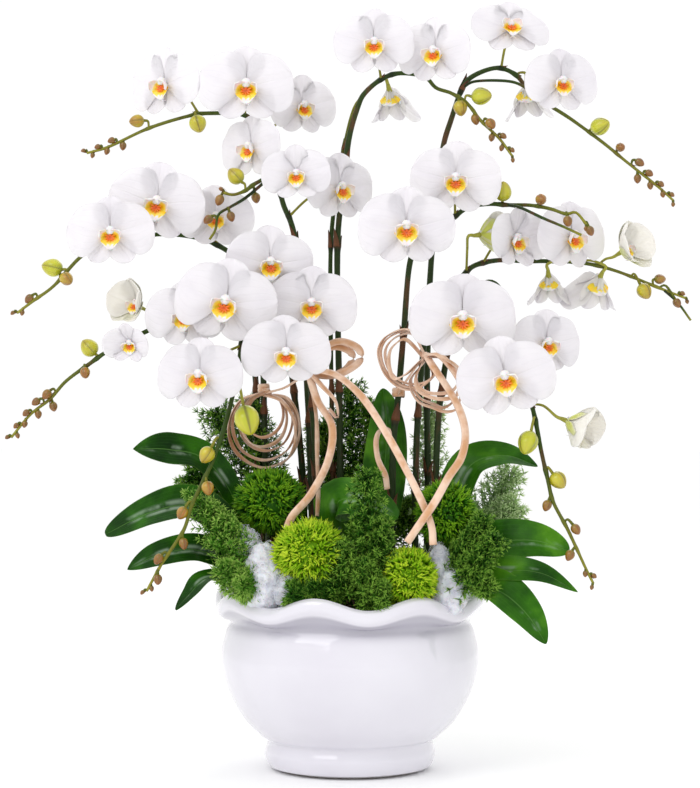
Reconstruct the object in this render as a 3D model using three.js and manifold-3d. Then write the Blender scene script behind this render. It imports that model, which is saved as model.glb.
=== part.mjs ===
// A white moth orchid arrangement in a glazed bowl with a scalloped rim.
// Millimetres, +Z up, origin at the centre of the bowl's foot; the viewer stands on the -Y side.
import * as THREE from "three";
import { mergeVertices } from "three/addons/utils/BufferGeometryUtils.js";
import Module from "manifold-3d";

const wasm = await Module();
wasm.setup();

// ---------------------------------------------------------------- driving dimensions
const GAP = 0.35; // between pieces that touch
const BLOOM_SPAN = 105; // across the two petals of a full-size bloom
const SCALLOPS = 8;
const SCALLOP_CREST = THREE.MathUtils.degToRad(-104.5); // direction of one crest of the rim
const SCALLOP_RISE = 6;
const SCALLOP_FLARE = 1.6;
const BOWL_SIDES = 32;
const MIX_SIDES = 16;
const BOWL_FLOOR = 36;
const FLOOR_RISE = 3; // of the inner floor's middle
const MIX_EDGE = 158; // height of the potting mix at the wall
const MIX_CROWN = 170; // and in the middle
const ROOT = 125; // height at which the stems end inside the potting mix
const SOCKET_TOP = 190; // the plain holes reach past the top of the mix
const PETAL_THICKNESS = 1.5;
const LEAF_THICKNESS = 2.6;
const RIBBON_WIDTH = 10;
const RIBBON_THICKNESS = 0.9;
const STEM_SIDES = 4;
const STUB_LENGTH = 9; // from a bloom's centre back to the end of its own short neck
const STUB_RADIUS = 2.2;
const PEDICEL_ROOT = 1.1;
const PEDICEL_RADIUS = 1.9;
const SMALL_BUD = 18; // buds shorter than this have fewer facets
const TUFT_CORE = 0.66; // core of a tufted head as a share of its radius
const FERN_RIB = [2.2, 1.2];
const FERN_SIDES = 4;
const FERN_RINGS = 14;
const LIP_REACH = 116.5; // nothing but the bowl lies further out below the height of its rim
const LIP_TOP = 186.5;

// Bowl wall as [radius, height, share of the scallop]: from the foot up over the lip, then down inside.
const BOWL_OUTSIDE = [
  [68, 0, 0], [84, 6, 0], [88, 18, 0], [85.5, 29.5, 0], [93, 36, 0], [110, 53, 0], [126, 82, 0],
  [133.5, 114, 0], [128.5, 142, 0], [124.5, 154, 0], [130, 160, 0.5], [138.5, 169, 1], [134, 179, 1],
];
const BOWL_INSIDE = [
  [126, 178, 1], [119.5, 166, 0.4], [118.5, 154, 0], [126, 114, 0], [104, 58, 0], [84, 40, 0],
];

// ---------------------------------------------------------------- finishes
const FINISHES = {
  glaze: { color: 0xf4f3f8, roughness: 0.12, metalness: 0 },
  bark: { color: 0x4b3626, roughness: 0.95, metalness: 0 },
  fibre: { color: 0xf2f3f6, roughness: 1, metalness: 0 },
  petal: { color: 0xfbf8fc, roughness: 0.55, metalness: 0 },
  stem: { color: 0x3d4f24, roughness: 0.5, metalness: 0 },
  leaf: { color: 0x1d6b2b, roughness: 0.35, metalness: 0 },
  tuft: { color: 0x7cb52c, roughness: 0.7, metalness: 0 },
  fern: { color: 0x2f7a33, roughness: 0.8, metalness: 0 },
  ribbon: { color: 0xd9ab85, roughness: 0.4, metalness: 0 },
};

// ---------------------------------------------------------------- where everything grows
// Blooms: centre, size, and in degrees the turn to the right, tilt up, roll and cupping of the petals.
const BLOOMS = {
  top_left_outer: { at: [-189, -20, 700], yaw: -35, size: 0.85 },
  top_left_front: { at: [-105, -40, 695], size: 0.95 },
  top_left_inner: { at: [-50, 10, 681], yaw: 30, size: 0.75 },
  top_left_under: { at: [-100, -30, 634], yaw: -40, size: 0.78 },
  crown_left_cupped: { at: [-54, -62, 604], size: 0.7, cup: 14 },
  crown_left_inner: { at: [-11, -30, 593], yaw: 35, size: 0.82 },
  mid_left_front: { at: [-194, -60, 575], roll: -8, size: 0.95 },
  mid_left_outer: { at: [-237, -92, 543], size: 0.85 },
  mid_left_inner: { at: [-136, -32, 563], size: 0.76 },
  low_left_outer: { at: [-164, -80, 461], yaw: -15, size: 0.8 },
  low_left_front: { at: [-122, -112, 473], yaw: -6, roll: -10, size: 1 },
  low_left_top: { at: [-80, -82, 513], yaw: 12, size: 0.88 },
  low_left_inner: { at: [-38, -88, 472], size: 0.88 },
  low_left_drooping: { at: [-62, -135, 424], pitch: -12, size: 0.85 },
  low_left_lowest: { at: [-146, -130, 401], yaw: -15, size: 0.86 },
  low_left_small: { at: [-220, -62, 435], yaw: -40, pitch: -15, size: 0.5, cup: 40 },
  top_mid_left: { at: [24, -56, 736], size: 0.8 },
  top_mid_right: { at: [86, -46, 729], yaw: -25, size: 0.8 },
  top_mid_hanging: { at: [41, 12, 698], yaw: 160, pitch: -60, size: 0.8, cup: 48 },
  top_right_crest: { at: [164, -15, 758], yaw: 10, pitch: 35, size: 0.8 },
  top_right_hanging: { at: [184, 26, 704], yaw: 170, pitch: -60, size: 0.85, cup: 48 },
  top_right_outer: { at: [214, -35, 700], yaw: 20, size: 0.78 },
  mid_right_top: { at: [106, -55, 599], size: 0.9 },
  mid_right_front: { at: [56, -92, 548], size: 0.94 },
  right_profile: { at: [167, -26, 541], yaw: 65, size: 0.74, cup: 12 },
  right_fan: { at: [226, -18, 544], yaw: 35, size: 0.86 },
  right_low: { at: [195, -80, 434], yaw: 25, size: 0.78 },
  low_right_top: { at: [110, -120, 457], size: 1.02 },
  low_right_front: { at: [151, -145, 399], yaw: -8, roll: 10, size: 0.95 },
};

// Blooms that have grown into one another: each pair is one body.
const TWIN_BLOOMS = {
  right_hanging_pair: [
    { at: [206, 18, 506], yaw: 170, pitch: -60, size: 0.64, cup: 48 },
    { at: [259, 20, 503], yaw: 200, pitch: -52, size: 0.8, cup: 44 },
  ],
};

// Flower spikes. A route runs from the root to the tip. `holds` names a bloom and the place on the
// route that its stalk leaves from. A bud is [centre, length, place], and one on a fork names it last.
const SPIKES = {
  top_left: {
    route: [
      [-39, 20, ROOT], [-39, 20, 213], [-41, 20, 306], [-45, 18, 400], [-56, 10, 539],
      [-70, 2, 585], [-76, -5, 630], [-92, -9, 655], [-108, -10, 671], [-142, -10, 673],
      [-165, -12, 670], [-206, -15, 657], [-246, -18, 638], [-269, -20, 631],
    ],
    holds: [["top_left_inner", 6.6], ["top_left_under", 6], ["top_left_front", 8], ["top_left_outer", 9.6]],
    buds: [
      [[-157, -16, 665], 20, 9.8], [[-218, -18, 664], 16, 11],
    ],
  },
  crown_left: {
    route: [
      [-34, -14, ROOT], [-34, -14, 215], [-35, -13, 307], [-40, -12, 389], [-54, -13, 533],
      [-68, -14, 579], [-78, -19, 606], [-95, -28, 600], [-106, -40, 591], [-118, -50, 586],
      [-128, -54, 588],
    ],
    forks: [{ route: [[-85, -23, 603], [-106, -36, 584], [-121, -54, 573], [-132, -61, 565],
      [-135, -62, 550], [-141, -62, 540]], radii: [1.7, 1.2] }],
    holds: [["crown_left_cupped", 5.3], ["crown_left_inner", 4.6]],
    buds: [
      [[-116, -40, 606], 19, 8], [[-96, -24, 585], 12, 7.4], [[-130, -55, 582], 12, 9.8],
      [[-121, -57, 566], 11, 2.2, 0], [[-142, -61, 560], 11, 3.4, 0],
    ],
  },
  mid_left: {
    route: [
      [-82, 32, ROOT], [-84, 30, 212], [-88, 25, 306], [-90, 20, 405], [-92, 15, 482],
      [-104, 8, 513], [-127, 4, 533], [-155, -6, 545], [-195, -22, 548], [-233, -50, 537],
      [-267, -55, 526], [-297, -60, 494], [-317, -62, 479], [-334, -64, 466],
    ],
    holds: [["mid_left_inner", 6.4], ["mid_left_front", 7.7], ["mid_left_outer", 8.8]],
    buds: [
      [[-299, -58, 512], 22, 10.6], [[-285, -66, 500], 16, 10.8], [[-318, -61, 481], 11, 11.8],
    ],
  },
  low_left: {
    route: [
      [-87, 50, ROOT], [-89, 48, 211], [-95, 42, 305], [-99, 32, 405], [-108, 0, 451],
      [-123, -35, 466], [-153, -45, 465], [-178, -46, 459], [-202, -45, 450], [-242, -45, 430],
      [-264, -45, 415], [-287, -45, 398], [-303, -46, 380], [-323, -47, 364], [-342, -48, 341],
    ],
    holds: [["low_left_outer", 5.8], ["low_left_small", 7.8]],
    buds: [
      [[-263, -45, 431], 20, 9.6], [[-267, -52, 407], 13, 10.2],
    ],
    half_open: [{ at: [-215, -44, 474], yaw: -60, pitch: 25, size: 0.55, cup: 55, from: 7.6 }],
  },
  cascade_left: {
    route: [
      [-46, 48, ROOT], [-47, 46, 211], [-50, 44, 305], [-60, 34, 400], [-66, 0, 451],
      [-72, -28, 486], [-84, -44, 497], [-98, -58, 486], [-106, -76, 455], [-110, -90, 417],
      [-120, -99, 366], [-133, -104, 325], [-143, -106, 302], [-155, -110, 277], [-163, -112, 252],
      [-177, -116, 230], [-186, -118, 216], [-199, -121, 192],
    ],
    holds: [["low_left_top", 5.6], ["low_left_inner", 4.7], ["low_left_front", 7.2],
      ["low_left_drooping", 8.2], ["low_left_lowest", 8.6]],
    buds: [
      [[-101, -112, 359], 32, 9.4], [[-141, -107, 325], 18, 10.6], [[-140, -110, 293], 15, 12],
      [[-165, -110, 268], 14, 13], [[-164, -114, 241], 12, 14.2], [[-186, -118, 224], 12, 15.2],
      [[-188, -121, 206], 11, 16.2],
    ],
  },
  top_mid: {
    route: [
      [-8, 15, ROOT], [-8, 15, 213], [-10, 12, 306], [-11, 10, 379], [-13, 5, 534], [-6, 2, 606],
      [-1, 0, 648], [8, -2, 680], [15, -5, 694], [32, -8, 708], [51, -10, 714], [76, -14, 710],
      [88, -18, 698], [104, -20, 692], [120, -22, 681], [134, -25, 663], [152, -28, 645],
      [165, -30, 627],
    ],
    forks: [{ route: [[-17, 24, ROOT], [-17, 24, 212], [-18, 22, 306], [-19, 18, 379], [-20, 14, 534],
      [-11, 12, 612], [-4, 9, 649], [5, 6, 681], [17, -5, 695]], radii: [2.8, 1.8] }],
    holds: [["top_mid_left", 9], ["top_mid_right", 11], ["top_mid_hanging", 9.6]],
    buds: [
      [[112, -22, 680], 17, 13.4], [[134, -30, 688], 22, 13.8], [[127, -23, 669], 12, 14.4],
      [[141, -30, 660], 13, 15.1],
    ],
  },
  top_right: {
    route: [
      [80, 25, ROOT], [80, 25, 212], [81, 25, 306], [80, 22, 379], [82, 18, 483], [89, 12, 586],
      [96, 10, 639], [105, 8, 670], [116, 8, 701], [128, 8, 714], [152, 8, 722], [171, 8, 715],
      [183, 8, 701], [202, 8, 686], [228, 6, 669], [261, 2, 644], [285, 0, 624], [317, -4, 598],
      [332, -6, 584],
    ],
    forks: [{ route: [[116, 8, 701], [129, 0, 707], [162, -2, 707], [180, 0, 701], [202, 8, 686]],
      radii: [1.5, 1.5] }],
    holds: [["top_right_crest", 10.2], ["top_right_hanging", 11], ["top_right_outer", 13]],
    buds: [
      [[257, -6, 660], 23, 14.6], [[277, -3, 636], 12, 15.6],
    ],
  },
  mid_right: {
    route: [
      [43, -14, ROOT], [43, -14, 215], [44, -14, 328], [49, -16, 379], [55, -22, 450], [61, -38, 519],
      [75, -42, 544], [103, -30, 563], [120, -25, 575], [141, -22, 579], [162, -20, 578],
      [183, -30, 577], [202, -48, 572], [217, -58, 566], [227, -62, 567], [237, -64, 555],
    ],
    forks: [{ route: [[162, -20, 578], [174, -42, 573], [192, -64, 562], [212, -78, 552],
      [230, -84, 543]], radii: [1.7, 1.3] }],
    holds: [["mid_right_top", 7.2], ["mid_right_front", 5.4]],
    buds: [
      [[156, -24, 591], 21, 9.7], [[193, -44, 581], 14, 11.4],
      [[218, -62, 560], 12, 13], [[238, -64, 553], 11, 14.9],
    ],
  },
  right: {
    route: [
      [67, 5, ROOT], [67, 5, 214], [68, 2, 307], [71, -2, 379], [81, -5, 471], [98, -6, 496],
      [115, 4, 506], [129, 14, 518], [154, 22, 524], [182, 22, 523], [203, 20, 523],
      [229, 16, 522], [252, 15, 519], [274, 14, 513], [295, 12, 505], [319, 10, 495], [347, 8, 484],
    ],
    forks: [{ route: [[325, 9, 492], [339, 8, 479], [352, 7, 461]], radii: [1.4, 1.2] }],
    holds: [["right_profile", 7.4], ["right_fan", 10.4], ["right_hanging_pair", 11.2]],
    half_open: [
      { at: [134, -16, 548], yaw: 115, pitch: 8, size: 0.62, cup: 45, from: 6.4 },
      { at: [281, -2, 532], yaw: 60, pitch: 12, size: 0.6, cup: 45, from: 12.2 },
    ],
    buds: [
      [[304, 6, 491], 18, 13.8], [[320, 12, 503], 13, 14.8], [[338, 8, 479], 11, 15],
    ],
  },
  cascade_right: {
    route: [
      [88, -18, ROOT], [88, -18, 215], [88, -18, 307], [92, -26, 379], [102, -45, 440],
      [117, -60, 480], [139, -66, 497], [154, -66, 483], [163, -66, 444], [172, -72, 407],
      [182, -90, 367], [189, -102, 327], [195, -105, 300], [200, -106, 279], [213, -108, 254],
      [221, -109, 237], [232, -110, 213], [239, -111, 199],
    ],
    holds: [["low_right_top", 4.6], ["right_low", 8], ["low_right_front", 8.8]],
    buds: [
      [[175, -106, 337], 26, 10.2], [[205, -108, 300], 19, 11.6], [[196, -106, 279], 12, 12.8],
      [[222, -110, 252], 12, 13.8], [[219, -110, 229], 12, 15.2],
    ],
    half_open: [{ at: [214, -118, 358], yaw: 55, pitch: -20, size: 0.7, cup: 60, from: 9.8 }],
  },
};

// Leaf rosettes: where the short stem stands, its top, and each leaf's midrib and half width.
const ROSETTES = {
  left: {
    foot: [-100, -12], top: 205,
    leaves: [
      {
        route: [
          [-100, -12, 196], [-119, -9, 276], [-149, -15, 318], [-184, -25, 328], [-221, -30, 329],
        ],
        half: 19,
        face: [0, -0.8, 0.6],
      },
      {
        route: [
          [-100, -13, 190], [-125, -40, 244], [-160, -60, 272], [-200, -75, 266], [-243, -85, 245],
        ],
        half: 23,
        face: [0, -0.8, 0.6],
      },
      {
        route: [
          [-100, -13, 184], [-126, -65, 216], [-155, -85, 230], [-189, -100, 226], [-219, -108, 212],
        ],
        half: 17,
        face: [0, -0.8, 0.6],
      },
      {
        route: [
          [-100, -14, 178], [-112, -80, 200], [-141, -108, 203], [-156, -120, 190], [-170, -126, 174],
        ],
        half: 13,
        face: [0, -0.3, 1],
      },
    ],
  },
  right: {
    foot: [101, -38], top: 200,
    leaves: [
      {
        route: [
          [101, -37, 196], [106, -14, 270], [124, -14, 312], [158, -20, 322], [191, -28, 311],
        ],
        half: 20,
        face: [0, -0.8, 0.6],
      },
      {
        route: [
          [101, -38, 190], [122, -48, 224], [150, -58, 236], [185, -68, 238], [219, -74, 228],
        ],
        half: 22,
        face: [0, -0.9, 0.45],
      },
      {
        route: [
          [101, -39, 184], [128, -66, 203], [155, -80, 209], [190, -92, 207], [225, -98, 189],
        ],
        half: 15,
        face: [0, -0.8, 0.6],
      },
      {
        route: [
          [101, -40, 178], [126, -80, 196], [150, -98, 189], [174, -110, 168], [192, -118, 140],
        ],
        half: 21,
        face: [0.3, -0.8, 0.6],
      },
    ],
  },
  centre: {
    foot: [18, -8], top: 205,
    leaves: [
      {
        route: [
          [18, -7, 196], [26, 4, 240], [34, 10, 295], [38, 12, 347], [34, 8, 391],
        ],
        half: 23,
        face: [0, -1, 0.2],
      },
      {
        route: [
          [18, -9, 190], [-6, -34, 244], [-12, -58, 276], [14, -74, 278], [48, -84, 262],
        ],
        half: 23,
        face: [0, -0.9, 0.5],
      },
    ],
  },
  back: {
    foot: [8, 78], top: 200,
    leaves: [
      {
        route: [
          [8, 80, 194], [-30, 96, 250], [-75, 112, 278], [-118, 128, 274], [-155, 140, 250],
        ],
        half: 22,
      },
      {
        route: [
          [8, 80, 190], [45, 98, 246], [88, 114, 272], [130, 126, 264], [165, 134, 238],
        ],
        half: 22,
      },
      {
        route: [
          [8, 79, 184], [20, 110, 222], [26, 138, 236], [30, 165, 224], [32, 188, 196],
        ],
        half: 20,
      },
      {
        route: [
          [8, 79, 178], [-30, 110, 204], [-62, 132, 208], [-92, 146, 190], [-112, 152, 162],
        ],
        half: 18,
      },
    ],
  },
};

// Tufted heads: centre, radius to the needle tips and where the stem enters the mix.
const TUFTS = {
  front_left: { at: [-40, -97, 229], radius: 37, foot: [-42, -70] },
  front_right: { at: [57, -100, 204], radius: 31, foot: [54, -78] },
  back_left: { at: [-80, -44, 276], radius: 36, foot: [-62, -46] },
  back_right: { at: [96, -62, 265], radius: 33, foot: [76, -52] },
};

// Fern sprays: route of the rib, length of the longest sprigs.
const FERNS = {
  left_front: {
    route: [
      [-64, -84, ROOT], [-68, -86, 190], [-100, -94, 206], [-128, -94, 240], [-156, -86, 286],
    ],
    reach: 24,
  },
  left_back: {
    route: [
      [-66, 52, ROOT], [-68, 54, 212], [-96, 60, 276], [-120, 52, 328], [-140, 38, 366],
    ],
    reach: 34,
  },
  centre_back: {
    route: [
      [4, 44, ROOT], [4, 44, 214], [4, 42, 276], [2, 40, 336], [0, 38, 392],
    ],
    reach: 34,
  },
  centre_front: {
    route: [
      [10, -88, ROOT], [10, -90, 192], [14, -102, 234], [16, -102, 270], [17, -96, 304],
    ],
    reach: 28,
  },
  right_back: {
    route: [
      [92, 34, ROOT], [94, 34, 196], [122, 30, 236], [148, 20, 272], [168, 8, 304],
    ],
    reach: 34,
  },
  right_front: {
    route: [
      [88, -64, ROOT], [90, -68, 192], [112, -94, 204], [128, -104, 222], [144, -108, 242],
    ],
    reach: 21,
  },
};

// Lumps of white fibre between the plants: centre and three radii.
const FIBRE = {
  left: [
    [[-88, -72, 198], [22, 26, 38]], [[-63, -90, 190], [17, 14, 18]], [[-104, -64, 230], [15, 18, 20]],
  ],
  right: [[[98, -84, 188], [20, 20, 26]], [[88, -84, 214], [10, 12, 22]]],
};

// Ribbon bows: a band round a stem, a knot and strips, each with the way its width faces.
const BOWS = {
  left: {
    knots: [[-86, -3, 386], [-41, -46, 408]],
    band: { on: [-89.7, 20.8, 390], radius: 3.7 },
    strips: [
      {
        face: [0, 1, 0.2],
        route: [
          [-89.5, 18, 389], [-87, 6, 388], [-86, -3, 386], [-67, -22, 391], [-52, -36, 400],
          [-41, -46, 408],
        ],
      },
      {
        face: [0.45, 0.75, 0.5],
        route: [
          [-88, -4, 384], [-66, -2, 380], [-55, 0, 356], [-64, 2, 329], [-88, 2, 317], [-112, 2, 328],
          [-121, 0, 354], [-110, -2, 378], [-88, -5, 387],
        ],
      },
      {
        face: [0.5, 0.7, -0.5],
        route: [
          [-87, -7, 385], [-70, -10, 378], [-65, -12, 358], [-72, -14, 339], [-90, -14, 331],
          [-106, -14, 340], [-112, -12, 360], [-103, -9, 378], [-87, -8, 387],
        ],
      },
      {
        face: [0, 1, 0.5],
        route: [
          [-41, -46, 409], [-29, -46, 429], [-11, -48, 438], [7, -50, 432], [11, -52, 421], [1, -54, 411],
          [-17, -52, 404], [-40, -46, 407],
        ],
      },
      {
        face: [0.2, 1, 0.6],
        route: [
          [-42, -46, 408], [-29, -54, 394], [-15, -60, 378], [-13, -64, 362], [-21, -64, 370],
        ],
      },
      {
        face: [1, 0.3, 0],
        route: [
          [-42, -47, 407], [-33, -55, 379], [-18, -62, 352], [-22, -68, 318], [-39, -74, 285],
          [-57, -80, 264], [-63, -84, 250],
        ],
      },
      {
        face: [1, 0.2, 0],
        route: [
          [-41, -45, 407], [-34, -48, 361], [-33, -52, 317], [-32, -56, 287], [-33, -60, 262],
        ],
      },
      {
        face: [0.6, 0.4, -0.6],
        route: [
          [-40, -48, 410], [-14, -58, 404], [12, -74, 382], [36, -86, 346], [52, -90, 317], [69, -95, 283],
          [80, -100, 256], [82, -104, 236],
        ],
      },
      {
        face: [0.7, 0.7, 0.3],
        route: [
          [39, -85, 341], [37, -80, 350], [30, -79, 349], [26, -78, 338], [28, -78, 320], [34, -78, 306],
        ],
      },
      {
        face: [0.6, 0.7, 0.4],
        route: [
          [-86, -7, 384], [-70, -16, 378], [-58, -20, 360], [-56, -22, 338], [-62, -22, 322],
          [-72, -20, 312],
        ],
      },
    ],
  },
  right: {
    knots: [[77, -38, 423]],
    band: { on: [49.6, -16.6, 386], radius: 4 },
    strips: [
      {
        face: [0, 1, 0.2],
        route: [
          [50, -22, 386], [56, -32, 396], [66, -38, 410], [77, -38, 423],
        ],
      },
      {
        face: [0.3, 1, 0.2],
        route: [
          [76, -39, 425], [62, -42, 448], [41, -44, 444], [31, -46, 430], [34, -46, 412], [44, -46, 399],
          [58, -46, 392], [74, -47, 393], [84, -48, 404], [78, -40, 421],
        ],
      },
      {
        face: [0.5, 1, 0.3],
        route: [
          [75, -39, 422], [56, -50, 440], [42, -52, 432], [39, -52, 416], [44, -52, 401], [56, -52, 404],
          [72, -44, 419],
        ],
      },
      {
        face: [0.2, 1, 0.5],
        route: [
          [74, -40, 420], [66, -50, 402], [68, -56, 389], [80, -58, 382], [96, -58, 380], [109, -58, 385],
          [116, -58, 398], [107, -58, 413], [92, -54, 422], [80, -42, 424],
        ],
      },
      {
        face: [0.2, 1, 0.3],
        route: [
          [75, -40, 418], [60, -46, 398], [68, -51, 378], [84, -52, 371], [96, -53, 367], [108, -54, 370],
          [112, -57, 384],
        ],
      },
      {
        face: [0.8, 0.5, 0.3],
        route: [
          [80, -42, 425], [90, -54, 424], [101, -54, 413], [111, -53, 398], [121, -52, 380],
        ],
      },
      {
        face: [1, 0.3, 0.1],
        route: [
          [78, -40, 423], [83, -50, 414], [98, -60, 391], [108, -66, 373], [114, -70, 355], [115, -74, 338],
          [110, -80, 320], [98, -90, 303], [84, -101, 279], [72, -108, 262], [56, -113, 239],
        ],
      },
    ],
  },
};

// Share of the length and of the full half width at each row across a blade.
const PETAL_ROWS = [[0.2, 0.56], [0.52, 1], [0.84, 0.78]];
const SEPAL_ROWS = [[0.34, 0.6], [0.72, 1]];
const LIP_ROWS = [[0.5, 1]];
const SEPAL_ANGLES = [90, -54, 234];
const PETAL_ANGLES = [13, 167];
const LIP_ANGLE = -90;
const LEAF_ROWS = [[0.12, 0.38], [0.3, 0.78], [0.5, 1], [0.7, 0.95], [0.88, 0.66]];

// ---------------------------------------------------------------- geometry helpers
const vector = ([x, y, z]) => new THREE.Vector3(x, y, z);
const radians = THREE.MathUtils.degToRad;

/** Closed triangle surface from corner points and faces. */
function shell(points, faces) {
  const geometry = new THREE.BufferGeometry();
  const values = points.flatMap((point) => [point.x, point.y, point.z]);
  geometry.setAttribute("position", new THREE.Float32BufferAttribute(values, 3));
  geometry.setIndex(faces.flat());
  return geometry;
}

/** A geometry with nothing but its positions left. */
function bare(geometry) {
  geometry.deleteAttribute("normal");
  geometry.deleteAttribute("uv");
  return geometry;
}

/** Turns a closed geometry into a solid that can be joined and cut. */
function solidOf(geometry) {
  const merged = mergeVertices(bare(geometry), 1e-4);
  return new wasm.Manifold(new wasm.Mesh({
    numProp: 3,
    vertProperties: new Float32Array(merged.attributes.position.array),
    triVerts: new Uint32Array(merged.index.array),
  }));
}

/** Turns a solid back into a geometry. */
function geometryOf(solid) {
  const { vertProperties, triVerts } = solid.getMesh();
  const geometry = new THREE.BufferGeometry();
  geometry.setAttribute("position", new THREE.Float32BufferAttribute(vertProperties, 3));
  geometry.setIndex(Array.from(triVerts));
  geometry.computeVertexNormals();
  return geometry;
}

/** Joins solids into one. */
function fuse(solids) {
  return wasm.Manifold.union(solids);
}

/** The largest loose piece of a solid, so that no scrap is left after a cut. */
function largest(solid) {
  const pieces = solid.decompose();
  pieces.sort((a, b) => b.volume() - a.volume());
  return pieces[0];
}

/** A generator of repeatable draws between 0 and 1. */
function draws(seed) {
  let state = seed;
  return () => {
    state = (Math.imul(state, 1664525) + 1013904223) >>> 0;
    return state / 4294967296;
  };
}

/** Point at a place on a route, where place 2.5 is half way from point 2 to point 3. */
function along(route, place) {
  const first = Math.min(Math.floor(place), route.length - 2);
  return vector(route[first]).lerp(vector(route[first + 1]), place - first);
}

/** Unit directions of a chain of points. */
function headings(points) {
  const last = points.length - 1;
  return points.map((_, i) => {
    const before = points[Math.max(i - 1, 0)];
    return points[Math.min(i + 1, last)].clone().sub(before).normalize();
  });
}

/** Corners of rings round a chain of points; the radius runs from the first value to the second. */
function ringCorners(points, [rootRadius, tipRadius], sides) {
  const directions = headings(points);
  const start = Math.abs(directions[0].z) < 0.9 ? new THREE.Vector3(0, 0, 1) : new THREE.Vector3(0, 1, 0);
  const side = start.cross(directions[0]).normalize();
  const corners = [];
  points.forEach((centre, i) => {
    side.addScaledVector(directions[i], -side.dot(directions[i])).normalize();
    const up = directions[i].clone().cross(side);
    const radius = THREE.MathUtils.lerp(rootRadius, tipRadius, i / (points.length - 1));
    for (let k = 0; k < sides; k++) {
      const turn = (2 * Math.PI * k) / sides;
      const corner = centre.clone().addScaledVector(side, radius * Math.cos(turn));
      corners.push(corner.addScaledVector(up, radius * Math.sin(turn)));
    }
  });
  return corners;
}

/** Closed tube through a chain of points, optionally thicker all round. */
function tube(points, radii, sides = STEM_SIDES, grow = 0) {
  const corners = ringCorners(points, radii.map((radius) => radius + grow), sides);
  return solidOf(shell(corners, ringFaces(points.length, sides)));
}

/** Faces of a stack of rings with flat ends. */
function ringFaces(rings, sides) {
  const faces = [];
  for (let i = 0; i + 1 < rings; i++) {
    for (let k = 0; k < sides; k++) {
      const a = i * sides + k;
      const b = i * sides + ((k + 1) % sides);
      faces.push([a, b, b + sides], [a, b + sides, a + sides]);
    }
  }
  const top = (rings - 1) * sides;
  for (let k = 1; k + 1 < sides; k++) {
    faces.push([0, k + 1, k], [top, top + k, top + k + 1]);
  }
  return faces;
}

/** Thin blade: rows of [middle, side, up, half width, sag] between a root point and a tip point. */
function blade(root, rows, tip, thickness) {
  const corners = [root, tip];
  for (const [middle, side, up, half, sag] of rows) {
    corners.push(
      middle.clone().addScaledVector(side, -half).addScaledVector(up, -sag),
      middle.clone().addScaledVector(up, thickness / 2),
      middle.clone().addScaledVector(side, half).addScaledVector(up, -sag),
      middle.clone().addScaledVector(up, -thickness / 2),
    );
  }
  const faces = [];
  const both = (a, b, c, middleOffset) => {
    faces.push([a, b, c]);
    const swap = (corner) => (corner > 1 && (corner - 2) % 4 === middleOffset ? corner + 2 : corner);
    faces.push([swap(c), swap(b), swap(a)]);
  };
  const count = rows.length;
  for (let i = 0; i < count; i++) {
    const left = 2 + 4 * i;
    const middle = left + 1;
    const right = left + 2;
    if (i === 0) {
      both(0, middle, left, 1);
      both(0, right, middle, 1);
    }
    if (i + 1 < count) {
      both(left, middle, middle + 4, 1);
      both(left, middle + 4, left + 4, 1);
      both(middle, right, right + 4, 1);
      both(middle, right + 4, middle + 4, 1);
    } else {
      both(left, middle, 1, 1);
      both(middle, right, 1, 1);
    }
  }
  return solidOf(shell(corners, faces));
}

/** Egg-shaped bud with its long axis from `root` towards `centre`; small ones have fewer facets. */
function bud(centre, root, length) {
  const axis = centre.clone().sub(root).normalize();
  const geometry = length < SMALL_BUD ? new THREE.OctahedronGeometry(1) : new THREE.IcosahedronGeometry(1, 0);
  geometry.scale(0.4 * length, 0.5 * length, 0.4 * length);
  geometry.applyQuaternion(new THREE.Quaternion().setFromUnitVectors(new THREE.Vector3(0, 1, 0), axis));
  geometry.translate(centre.x, centre.y, centre.z);
  return solidOf(geometry);
}

/** Ball of triangles, with a radius for each axis. */
function ball(centre, radii, detail) {
  const geometry = new THREE.IcosahedronGeometry(1, detail);
  geometry.scale(...radii);
  geometry.translate(...centre);
  return solidOf(geometry);
}

// ---------------------------------------------------------------- bowl and potting mix
/** Rings of corners of a scalloped round wall. */
function wallRings(profile, sides, inset = 0) {
  const corners = [];
  for (const [radius, height, scallop] of profile) {
    for (let k = 0; k < sides; k++) {
      const turn = SCALLOP_CREST + (2 * Math.PI * k) / sides;
      const wave = scallop * Math.cos(SCALLOPS * (turn - SCALLOP_CREST));
      const reach = radius - inset + SCALLOP_FLARE * wave;
      const rise = height + SCALLOP_RISE * wave;
      corners.push(new THREE.Vector3(reach * Math.cos(turn), reach * Math.sin(turn), rise));
    }
  }
  return corners;
}

/** The glazed bowl: one wall from the foot over the lip to the inner floor. */
function bowl() {
  const profile = [...BOWL_OUTSIDE, ...BOWL_INSIDE];
  const corners = wallRings(profile, BOWL_SIDES);
  const rings = profile.length;
  const floor = corners.length;
  corners.push(new THREE.Vector3(0, 0, BOWL_FLOOR + FLOOR_RISE));
  const faces = ringFaces(rings, BOWL_SIDES).slice(0, (rings - 1) * BOWL_SIDES * 2);
  const top = (rings - 1) * BOWL_SIDES;
  for (let k = 0; k < BOWL_SIDES; k++) {
    faces.push([top + k, top + ((k + 1) % BOWL_SIDES), floor]);
  }
  for (let k = 1; k + 1 < BOWL_SIDES; k++) {
    faces.push([0, k + 1, k]);
  }
  return solidOf(shell(corners, faces));
}

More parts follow.
